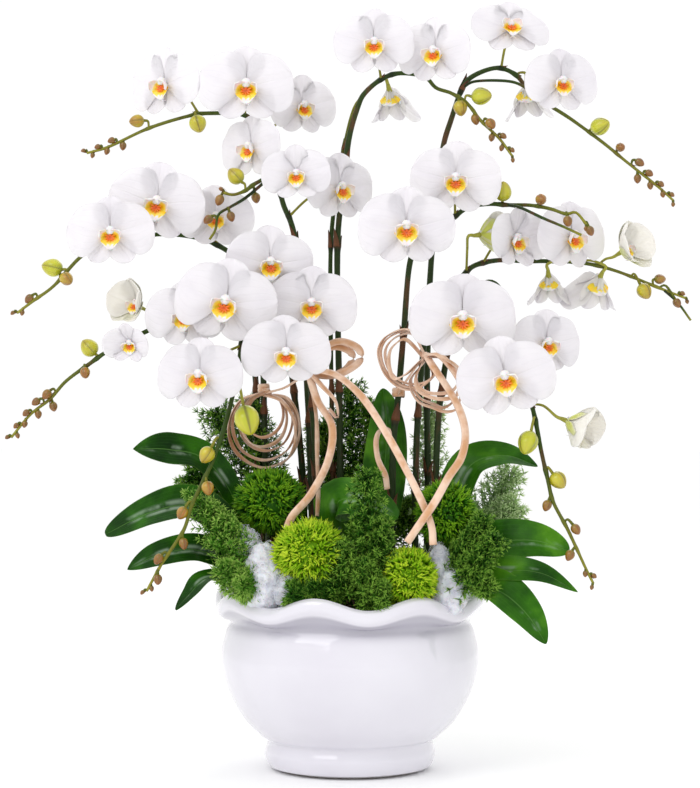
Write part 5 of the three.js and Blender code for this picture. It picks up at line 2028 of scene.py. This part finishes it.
# ---- tables, in millimetres
BOWL = Bowl(
    outside=(
        (58, 3.5, 0), (62, 0.6, 0), (68, 0, 0), (80, 3, 0), (84.5, 6, 0), (88, 18, 0),
        (85.5, 29.5, 0), (93, 36, 0), (110, 53, 0), (126, 82, 0), (133.5, 114, 0), (128.5, 141, 0),
        (124, 152, 0), (131.5, 159, 0.6), (139, 167.5, 1), (138.6, 176, 1), (134, 179.8, 1),
    ),
    inside=(
        (134, 179.5, 1), (126, 178, 1), (119.5, 166, 0.4), (118.5, 154, 0), (126, 114, 0),
        (104, 58, 0), (84, 40, 0),
    ),
)
MIX = Mix()
FIBRES = {
    "fibre_left": FibreTuft((
        ((-86, -84, 200), (24, 25, 38)), ((-62, -97, 191), (18, 14, 18)),
        ((-106, -74, 232), (16, 18, 20)),
    )),
    "fibre_right": FibreTuft((((98, -84, 188), (20, 20, 26)), ((88, -84, 214), (10, 12, 22))), 800),
}
BLOOMS: dict[str, Flowers] = {
    "bloom_top_left_outer": Flowers([Place((-189, -20, 700), yaw=-35, size=0.85)]),
    "bloom_top_left_front": Flowers([Place((-105, -40, 695), size=0.95)]),
    "bloom_top_left_inner": Flowers([Place((-50, 10, 681), yaw=30, size=0.75)]),
    "bloom_top_left_under": Flowers([Place((-100, -30, 634), yaw=-40, size=0.78)]),
    "bloom_crown_left_cupped": Flowers([Place((-54, -62, 604), size=0.7, cup=14)]),
    "bloom_crown_left_inner": Flowers([Place((-11, -30, 593), yaw=35, size=0.82)]),
    "bloom_mid_left_front": Flowers([Place((-194, -60, 575), roll=-8, size=0.95)]),
    "bloom_mid_left_outer": Flowers([Place((-237, -92, 543), size=0.85)]),
    "bloom_mid_left_inner": Flowers([Place((-136, -32, 563), size=0.76)]),
    "bloom_low_left_outer": Flowers([Place((-164, -80, 461), yaw=-15, size=0.8)]),
    "bloom_low_left_front": Flowers([Place((-122, -112, 473), yaw=-6, roll=-10, size=1)]),
    "bloom_low_left_top": Flowers([Place((-80, -82, 513), yaw=12, size=0.88)]),
    "bloom_low_left_inner": Flowers([Place((-38, -88, 472), size=0.88)]),
    "bloom_low_left_drooping": Flowers([Place((-62, -135, 424), pitch=-12, size=0.85)]),
    "bloom_low_left_lowest": Flowers([Place((-146, -130, 401), yaw=-15, size=0.86)]),
    "bloom_low_left_small": Flowers([Place(
        (-220, -62, 435), yaw=-15, pitch=-10, size=0.58, cup=34,
    )]),
    "bloom_top_mid_left": Flowers([Place((24, -56, 736), size=0.8)]),
    "bloom_top_mid_right": Flowers([Place((86, -46, 729), yaw=-25, size=0.8)]),
    "bloom_top_mid_hanging": Flowers([Place((41, 12, 698), yaw=160, pitch=-50, size=0.88, cup=58)]),
    "bloom_top_right_crest": Flowers([Place((164, -15, 758), yaw=10, pitch=35, size=0.8)]),
    "bloom_top_right_hanging": Flowers([Place(
        (184, 26, 704), yaw=170, pitch=-50, size=0.9, cup=58,
    )]),
    "bloom_top_right_outer": Flowers([Place((214, -35, 700), yaw=20, size=0.78)]),
    "bloom_mid_right_top": Flowers([Place((106, -55, 599), size=0.9)]),
    "bloom_mid_right_front": Flowers([Place((56, -92, 548), size=0.94)]),
    "bloom_right_profile": Flowers([Place((167, -26, 541), yaw=40, size=0.8, cup=16)]),
    "bloom_right_fan": Flowers([Place((226, -18, 544), yaw=35, size=0.86)]),
    "bloom_right_low": Flowers([Place((195, -80, 434), yaw=25, size=0.78)]),
    "bloom_low_right_top": Flowers([Place((110, -120, 457), size=1.02)]),
    "bloom_low_right_front": Flowers([Place((151, -145, 399), yaw=-8, roll=10, size=0.95)]),
    "blooms_right_hanging_pair": Flowers([
        Place((206, 18, 506), yaw=170, pitch=-50, size=0.8, cup=58),
        Place((259, 20, 505), yaw=205, pitch=-45, size=0.96, cup=56),
    ]),
}
SPIKES: dict[str, Spike] = {
    "spike_top_left": Spike(
        route=(
            (-39, 20, 125), (-39, 20, 213), (-41, 20, 306), (-45, 18, 400), (-56, 10, 539),
            (-70, 2, 585), (-76, -5, 630), (-92, -9, 655), (-108, -10, 671), (-142, -10, 673),
            (-165, -12, 670), (-206, -15, 657), (-246, -18, 638), (-269, -20, 631),
        ),
        holds=(
            ("bloom_top_left_inner", 6.6), ("bloom_top_left_under", 6), ("bloom_top_left_front", 8),
            ("bloom_top_left_outer", 9.6),
        ),
        buds=(Bud((-157, -16, 665), 20, 9.8), Bud((-218, -18, 664), 16, 11)),
    ),
    "spike_crown_left": Spike(
        route=(
            (-34, -14, 125), (-34, -14, 215), (-35, -13, 307), (-40, -12, 389), (-54, -13, 533),
            (-68, -14, 579), (-78, -19, 606), (-95, -28, 600), (-106, -40, 591), (-118, -50, 586),
            (-128, -54, 588),
        ),
        forks=(Fork((
            (-85, -23, 603), (-106, -36, 584), (-121, -54, 573), (-132, -61, 565), (-135, -62, 550),
            (-141, -62, 540),
        ), (1.7, 1.2)),),
        holds=(("bloom_crown_left_cupped", 5.3), ("bloom_crown_left_inner", 4.6)),
        buds=(
            Bud((-116, -40, 606), 19, 8), Bud((-96, -24, 585), 12, 7.4),
            Bud((-130, -55, 582), 12, 9.8),
            Bud((-121, -57, 566), 11, 2.2, fork=0),
            Bud((-142, -61, 560), 11, 3.4, fork=0),
        ),
    ),
    "spike_mid_left": Spike(
        route=(
            (-82, 32, 125), (-84, 30, 212), (-88, 25, 306), (-90, 20, 405), (-92, 15, 482),
            (-104, 8, 513), (-127, 4, 533), (-155, -6, 545), (-195, -22, 548), (-233, -50, 537),
            (-267, -55, 526), (-297, -60, 494), (-317, -62, 479), (-334, -64, 466),
        ),
        holds=(
            ("bloom_mid_left_inner", 6.4), ("bloom_mid_left_front", 7.7),
            ("bloom_mid_left_outer", 8.8),
        ),
        buds=(
            Bud((-299, -58, 512), 22, 10.6), Bud((-285, -66, 500), 16, 10.8),
            Bud((-318, -61, 481), 11, 11.8),
        ),
    ),
    "spike_low_left": Spike(
        route=(
            (-87, 50, 125), (-89, 48, 211), (-95, 42, 305), (-99, 32, 405), (-108, 0, 451),
            (-123, -35, 466), (-153, -45, 465), (-178, -46, 459), (-202, -45, 450),
            (-242, -45, 430), (-264, -45, 415), (-287, -45, 398), (-303, -46, 380),
            (-323, -47, 364), (-342, -48, 341),
        ),
        holds=(("bloom_low_left_outer", 5.8), ("bloom_low_left_small", 7.8)),
        buds=(Bud((-263, -45, 431), 20, 9.6), Bud((-267, -52, 407), 13, 10.2)),
        opening=((Place((-215, -44, 474), yaw=-35, pitch=15, size=0.62, cup=44), 7.6),),
    ),
    "spike_cascade_left": Spike(
        route=(
            (-46, 48, 125), (-47, 46, 211), (-50, 44, 305), (-60, 34, 400), (-66, 0, 451),
            (-72, -28, 486), (-84, -44, 497), (-98, -58, 486), (-106, -76, 455), (-110, -90, 417),
            (-120, -99, 366), (-133, -104, 325), (-143, -106, 302), (-155, -110, 277),
            (-163, -112, 252), (-177, -116, 230), (-186, -118, 216), (-199, -121, 192),
        ),
        holds=(
            ("bloom_low_left_top", 5.6), ("bloom_low_left_inner", 4.7),
            ("bloom_low_left_front", 7.2), ("bloom_low_left_drooping", 8.2),
            ("bloom_low_left_lowest", 8.6),
        ),
        buds=(
            Bud((-101, -112, 359), 32, 9.4), Bud((-141, -107, 325), 18, 10.6),
            Bud((-140, -110, 293), 15, 12), Bud((-165, -110, 268), 14, 13),
            Bud((-164, -114, 241), 12, 14.2), Bud((-186, -118, 224), 12, 15.2),
            Bud((-188, -121, 206), 11, 16.2),
        ),
    ),
    "spike_top_mid": Spike(
        route=(
            (-8, 15, 125), (-8, 15, 213), (-10, 12, 306), (-11, 10, 379), (-13, 5, 534),
            (-6, 2, 606), (-1, 0, 648), (8, -2, 680), (15, -5, 694), (32, -8, 708), (51, -10, 714),
            (76, -14, 710), (88, -18, 698), (104, -20, 692), (120, -22, 681), (134, -25, 663),
            (152, -28, 645), (165, -30, 627),
        ),
        forks=(Fork((
            (-17, 24, 125), (-17, 24, 212), (-18, 22, 306), (-19, 18, 379), (-20, 14, 534),
            (-11, 12, 612), (-4, 9, 649), (5, 6, 681), (17, -5, 695),
        ), (2.8, 1.8)),),
        holds=(
            ("bloom_top_mid_left", 9), ("bloom_top_mid_right", 11), ("bloom_top_mid_hanging", 9.6),
        ),
        buds=(
            Bud((112, -22, 680), 17, 13.4), Bud((134, -30, 688), 22, 13.8),
            Bud((127, -23, 669), 12, 14.4), Bud((141, -30, 660), 13, 15.1),
        ),
    ),
    "spike_top_right": Spike(
        route=(
            (80, 25, 125), (80, 25, 212), (81, 25, 306), (80, 22, 379), (82, 18, 483),
            (89, 12, 586), (96, 10, 639), (105, 8, 670), (116, 8, 701), (128, 8, 714),
            (152, 8, 722), (171, 8, 715), (183, 8, 701), (202, 8, 686), (228, 6, 669),
            (261, 2, 644), (285, 0, 624), (317, -4, 598), (332, -6, 584),
        ),
        forks=(Fork((
            (116, 8, 701), (129, 0, 707), (162, -2, 707), (180, 0, 701), (202, 8, 686),
        ), (1.5, 1.5)),),
        holds=(
            ("bloom_top_right_crest", 10.2), ("bloom_top_right_hanging", 11),
            ("bloom_top_right_outer", 13),
        ),
        buds=(Bud((257, -6, 660), 23, 14.6), Bud((277, -3, 636), 12, 15.6)),
    ),
    "spike_mid_right": Spike(
        route=(
            (43, -14, 125), (43, -14, 215), (44, -14, 328), (49, -16, 379), (55, -22, 450),
            (61, -38, 519), (75, -42, 544), (103, -30, 563), (120, -25, 575), (141, -22, 579),
            (162, -20, 578), (183, -30, 577), (202, -48, 572), (217, -58, 566), (227, -62, 567),
            (237, -64, 555),
        ),
        forks=(Fork((
            (162, -20, 578), (174, -42, 573), (192, -64, 562), (212, -78, 552), (230, -84, 543),
        ), (1.7, 1.3)),),
        holds=(("bloom_mid_right_top", 7.2), ("bloom_mid_right_front", 5.4)),
        buds=(
            Bud((156, -24, 591), 21, 9.7), Bud((193, -44, 581), 14, 11.4),
            Bud((218, -62, 560), 12, 13), Bud((238, -64, 553), 11, 14.9),
        ),
    ),
    "spike_right": Spike(
        route=(
            (67, 5, 125), (67, 5, 214), (68, 2, 307), (71, -2, 379), (81, -5, 471), (98, -6, 496),
            (115, 4, 506), (129, 14, 518), (154, 22, 524), (182, 22, 523), (203, 20, 523),
            (229, 16, 522), (252, 15, 519), (274, 14, 513), (295, 12, 505), (319, 10, 495),
            (347, 8, 484),
        ),
        forks=(Fork(((325, 9, 492), (339, 8, 479), (352, 7, 461)), (1.4, 1.2)),),
        holds=(("bloom_right_profile", 7.4), ("bloom_right_fan", 10.4), (
            "blooms_right_hanging_pair", 11.2,
        )),
        buds=(
            Bud((304, 6, 491), 18, 13.8), Bud((320, 12, 503), 13, 14.8), Bud((338, 8, 479), 11, 15),
        ),
        opening=(
            (Place((134, -16, 548), yaw=115, pitch=8, size=0.62, cup=45), 6.4),
            (Place((281, -2, 532), yaw=42, pitch=22, size=0.66, cup=36), 12.2),
        ),
    ),
    "spike_cascade_right": Spike(
        route=(
            (88, -18, 125), (88, -18, 215), (88, -18, 307), (92, -26, 379), (102, -45, 440),
            (117, -60, 480), (139, -66, 497), (154, -66, 483), (163, -66, 444), (172, -72, 407),
            (182, -90, 367), (189, -102, 327), (195, -105, 300), (200, -106, 279), (213, -108, 254),
            (221, -109, 237), (232, -110, 213), (239, -111, 199),
        ),
        holds=(
            ("bloom_low_right_top", 4.6), ("bloom_right_low", 8), ("bloom_low_right_front", 8.8),
        ),
        buds=(
            Bud((175, -106, 337), 26, 10.2), Bud((205, -108, 300), 19, 11.6),
            Bud((196, -106, 279), 12, 12.8), Bud((222, -110, 252), 12, 13.8),
            Bud((219, -110, 229), 12, 15.2),
        ),
        opening=((Place((214, -118, 358), yaw=55, pitch=-20, size=0.7, cup=60), 9.8),),
    ),
}
ROSETTES: dict[str, Rosette] = {
    "leaves_left": Rosette((-100, -12), 205, (
        Leaf((
            (-100, -12, 196), (-119, -9, 276), (-149, -15, 318), (-184, -25, 328), (-221, -30, 329),
        ), 19, face=FORWARD, point=0.9, root=0.16, widest=0.72),
        Leaf((
            (-100, -13, 190), (-125, -40, 244), (-160, -60, 272), (-200, -75, 266),
            (-243, -85, 245),
        ), 23, face=FORWARD),
        Leaf((
            (-100, -13, 184), (-126, -65, 216), (-155, -85, 230), (-189, -100, 226),
            (-219, -108, 212),
        ), 17, face=FORWARD, point=0.75),
        Leaf((
            (-100, -14, 178), (-112, -80, 200), (-141, -108, 203), (-156, -120, 190),
            (-170, -126, 174),
        ), 13, face=(0, -0.3, 1), point=0.85),
    )),
    "leaves_right": Rosette((101, -38), 200, (
        Leaf((
            (101, -37, 196), (106, -14, 270), (124, -14, 312), (158, -20, 322), (191, -28, 311),
        ), 20, face=FORWARD, point=0.8),
        Leaf((
            (101, -38, 190), (122, -48, 224), (150, -58, 236), (185, -68, 238), (219, -74, 228),
        ), 22, face=(0, -0.9, 0.45)),
        Leaf((
            (101, -39, 184), (128, -66, 203), (155, -80, 209), (190, -92, 207), (225, -98, 189),
        ), 15, face=FORWARD, point=0.85),
        Leaf((
            (101, -40, 178), (126, -80, 196), (150, -98, 189), (174, -110, 168), (192, -118, 140),
        ), 21, face=(0.3, -0.8, 0.6), point=0.7, root=0.2),
    ), looks=LIGHTER_LEAF_LOOKS),
    "leaves_centre": Rosette((18, -8), 205, (
        Leaf((
            (18, -7, 196), (26, 4, 240), (34, 10, 295), (38, 12, 347), (34, 8, 391),
        ), 23, face=(0, -1, 0.2), point=0.6),
        Leaf((
            (18, -9, 190), (-6, -34, 244), (-12, -58, 276), (14, -74, 278), (48, -84, 262),
        ), 23, face=(0, -0.9, 0.5)),
    ), looks=LIGHTER_LEAF_LOOKS),
    "leaves_back": Rosette((8, 78), 200, (
        Leaf((
            (8, 80, 194), (-30, 96, 250), (-75, 112, 278), (-118, 128, 274), (-155, 140, 250),
        ), 22, point=0.7),
        Leaf((
            (8, 80, 190), (45, 98, 246), (88, 114, 272), (130, 126, 264), (165, 134, 238),
        ), 22, point=0.7),
        Leaf(((8, 79, 184), (20, 110, 222), (26, 138, 236), (30, 165, 224), (32, 188, 196)), 20),
        Leaf((
            (8, 79, 178), (-30, 110, 204), (-62, 132, 208), (-92, 146, 190), (-112, 152, 162),
        ), 18),
    )),
}
TUFTS: dict[str, Tuft] = {
    "tuft_front_left": Tuft((-40, -97, 229), 37, (-42, -70), (1.06, 1, 0.87), looks=LIME_LOOKS),
    "tuft_front_right": Tuft((57, -100, 204), 31, (54, -78), looks=LIME_LOOKS),
    "tuft_back_left": Tuft((-80, -44, 276), 36, (-62, -46), (1.05, 1, 0.94)),
    "tuft_back_right": Tuft((96, -62, 265), 33, (76, -52), (0.93, 0.95, 1.08)),
}
FERNS: dict[str, Fern] = {
    "fern_left_front": Fern((-64, -84), 22, (
        ((-68, -86, 190), (-100, -94, 206), (-128, -94, 240), (-156, -86, 286)),
        ((-70, -86, 188), (-92, -96, 198), (-112, -104, 204), (-126, -108, 212)),
        ((-72, -82, 194), (-98, -88, 224), (-120, -88, 250), (-140, -82, 272)),
        ((-68, -86, 190), (-84, -98, 196), (-96, -106, 198), (-104, -112, 196)),
    ), shoots=44, bare=2.0, looks=FERN_LOOKS),
    "fern_left_back": Fern((-66, 52), 38, (
        ((-68, 54, 212), (-96, 60, 276), (-120, 52, 328), (-140, 38, 366)),
        ((-68, 50, 212), (-82, 46, 276), (-92, 40, 328), (-104, 30, 376)),
        ((-70, 54, 210), (-110, 56, 256), (-142, 44, 284), (-166, 30, 300)),
    ), shoots=96),
    "fern_centre_back": Fern((4, 44), 36, (
        ((4, 44, 214), (4, 42, 276), (2, 40, 336), (0, 38, 392)),
        ((2, 46, 212), (-12, 46, 262), (-24, 44, 312), (-32, 42, 352)),
        ((6, 46, 212), (18, 48, 262), (26, 48, 320), (24, 46, 372)),
        ((8, 46, 200), (30, 50, 232), (50, 52, 252), (68, 52, 262)),
    ), shoots=120),
    "fern_centre_front": Fern((10, -88), 28, (
        ((10, -90, 192), (14, -102, 234), (16, -102, 270), (17, -96, 304)),
        ((6, -90, 188), (-2, -102, 200), (-8, -110, 216), (-10, -112, 236)),
        ((14, -90, 188), (24, -100, 206), (28, -104, 230), (30, -102, 256)),
        ((10, -92, 186), (14, -106, 194), (16, -114, 204), (14, -118, 218)),
        ((14, -92, 184), (24, -110, 190), (34, -120, 190)),
        ((0, -92, 182), (-22, -108, 186), (-44, -116, 188), (-56, -118, 190)),
        ((4, -92, 184), (-12, -106, 190), (-24, -114, 194), (-36, -118, 196)),
    ), shoots=54),
    "fern_right_back": Fern((92, 34), 34, (
        ((94, 34, 196), (122, 30, 236), (148, 20, 272), (168, 8, 304)),
        ((92, 36, 200), (86, 40, 262), (82, 42, 322), (86, 40, 376)),
        ((96, 34, 194), (128, 24, 226), (152, 10, 254), (170, -4, 270)),
    ), shoots=76, looks=PALE_FERN_LOOKS),
    "fern_right_front": Fern((88, -64), 21, (
        ((90, -68, 192), (112, -94, 204), (128, -104, 222), (144, -108, 242)),
        ((92, -66, 194), (112, -90, 200), (126, -104, 202), (136, -110, 194)),
        ((90, -64, 196), (108, -84, 220), (120, -90, 240), (132, -92, 262)),
    ), shoots=50),
}
BOWS: dict[str, Bow] = {
    "ribbon_left": Bow(
        knots=((-86, -3, 386), (-41, -46, 408)),
        band=(-89.7, 20.8, 390), stem=3.7,
        strips=(
            Strip((0, 1, 0.2), (
                (-89.5, 18, 389), (-87, 6, 388), (-86, -3, 386), (-67, -22, 391), (-52, -36, 400),
                (-41, -46, 408),
            )),
            Strip((0.28, 0.9, 0.25), (
                (-88, -4, 384), (-66, -2, 380), (-55, 0, 356), (-64, 2, 329), (-88, 2, 317),
                (-112, 2, 328), (-121, 0, 354), (-110, -2, 378), (-88, -5, 387),
            ), copies=(1.12, 0.86)),
            Strip((0.3, 0.9, -0.3), (
                (-87, -7, 385), (-70, -10, 378), (-65, -12, 358), (-72, -14, 339), (-90, -14, 331),
                (-106, -14, 340), (-112, -12, 360), (-103, -9, 378), (-87, -8, 387),
            ), copies=(0.82,)),
            Strip((0.1, 0.4, 1), (
                (-41, -46, 409), (-29, -46, 429), (-11, -48, 438), (7, -50, 432), (11, -52, 421),
                (1, -54, 411), (-17, -52, 404), (-40, -46, 407),
            ), copies=(0.85,)),
            Strip((0.2, 1, 0.6), (
                (-42, -46, 408), (-29, -54, 394), (-15, -60, 378), (-13, -64, 362), (-21, -64, 370),
            )),
            Strip((1, 0.3, 0), (
                (-42, -47, 407), (-33, -55, 379), (-18, -62, 352), (-22, -68, 318), (-39, -74, 285),
                (-57, -80, 264), (-63, -84, 250),
            )),
            Strip((0.5, 0.85, 0), (
                (-41, -45, 407), (-34, -48, 361), (-33, -52, 317), (-32, -56, 287), (-33, -60, 262),
            )),
            Strip((0.8, 0.4, 0.5), (
                (-40, -48, 410), (-14, -58, 404), (12, -74, 382), (36, -86, 346), (52, -90, 317),
                (69, -95, 283), (80, -100, 256), (82, -104, 236),
            )),
            Strip((0.7, 0.7, 0.3), (
                (39, -85, 341), (37, -80, 350), (30, -79, 349), (26, -78, 338), (28, -78, 320),
                (35, -77, 304), (37, -76, 290),
            )),
            Strip((0.3, 0.9, 0.3), (
                (-86, -7, 384), (-70, -16, 378), (-58, -20, 360), (-56, -22, 338), (-62, -22, 322),
                (-72, -20, 312),
            )),
        ),
    ),
    "ribbon_right": Bow(knots=((77, -38, 423),), band=(49.6, -16.6, 386), stem=4, strips=(
        Strip((0, 1, 0.2), ((50, -22, 386), (56, -32, 396), (66, -38, 410), (77, -38, 423))),
        Strip((0.3, 1, 0.2), (
            (76, -39, 425), (62, -42, 448), (41, -44, 444), (31, -46, 430), (34, -46, 412),
            (44, -46, 399), (58, -46, 392), (74, -47, 393), (84, -48, 404), (78, -40, 421),
        ), copies=(0.9, 1.06)),
        Strip((0.5, 1, 0.3), (
            (75, -39, 422), (56, -50, 440), (42, -52, 432), (39, -52, 416), (44, -52, 401),
            (56, -52, 404), (72, -44, 419),
        )),
        Strip((0.2, 1, 0.5), (
            (74, -40, 420), (66, -50, 402), (68, -56, 389), (80, -58, 382), (96, -58, 380),
            (109, -58, 385), (116, -58, 398), (107, -58, 413), (92, -54, 422), (80, -42, 424),
        ), copies=(0.88,)),
        Strip((0.2, 1, 0.3), (
            (75, -40, 418), (60, -46, 398), (68, -51, 378), (84, -52, 371), (96, -53, 367),
            (108, -54, 370), (112, -57, 384),
        ), copies=(0.9,)),
        Strip((0.8, 0.5, 0.3), (
            (80, -42, 425), (90, -54, 424), (101, -54, 413), (111, -53, 398), (121, -52, 380),
        )),
        Strip((1, 0.3, 0.1), (
            (78, -40, 423), (83, -50, 414), (98, -60, 391), (108, -66, 373), (114, -70, 355),
            (115, -74, 338), (110, -80, 320), (98, -90, 303), (84, -101, 279), (72, -108, 262),
            (56, -113, 239),
        )),
    )),
}


if __name__ == "__main__":
    main()
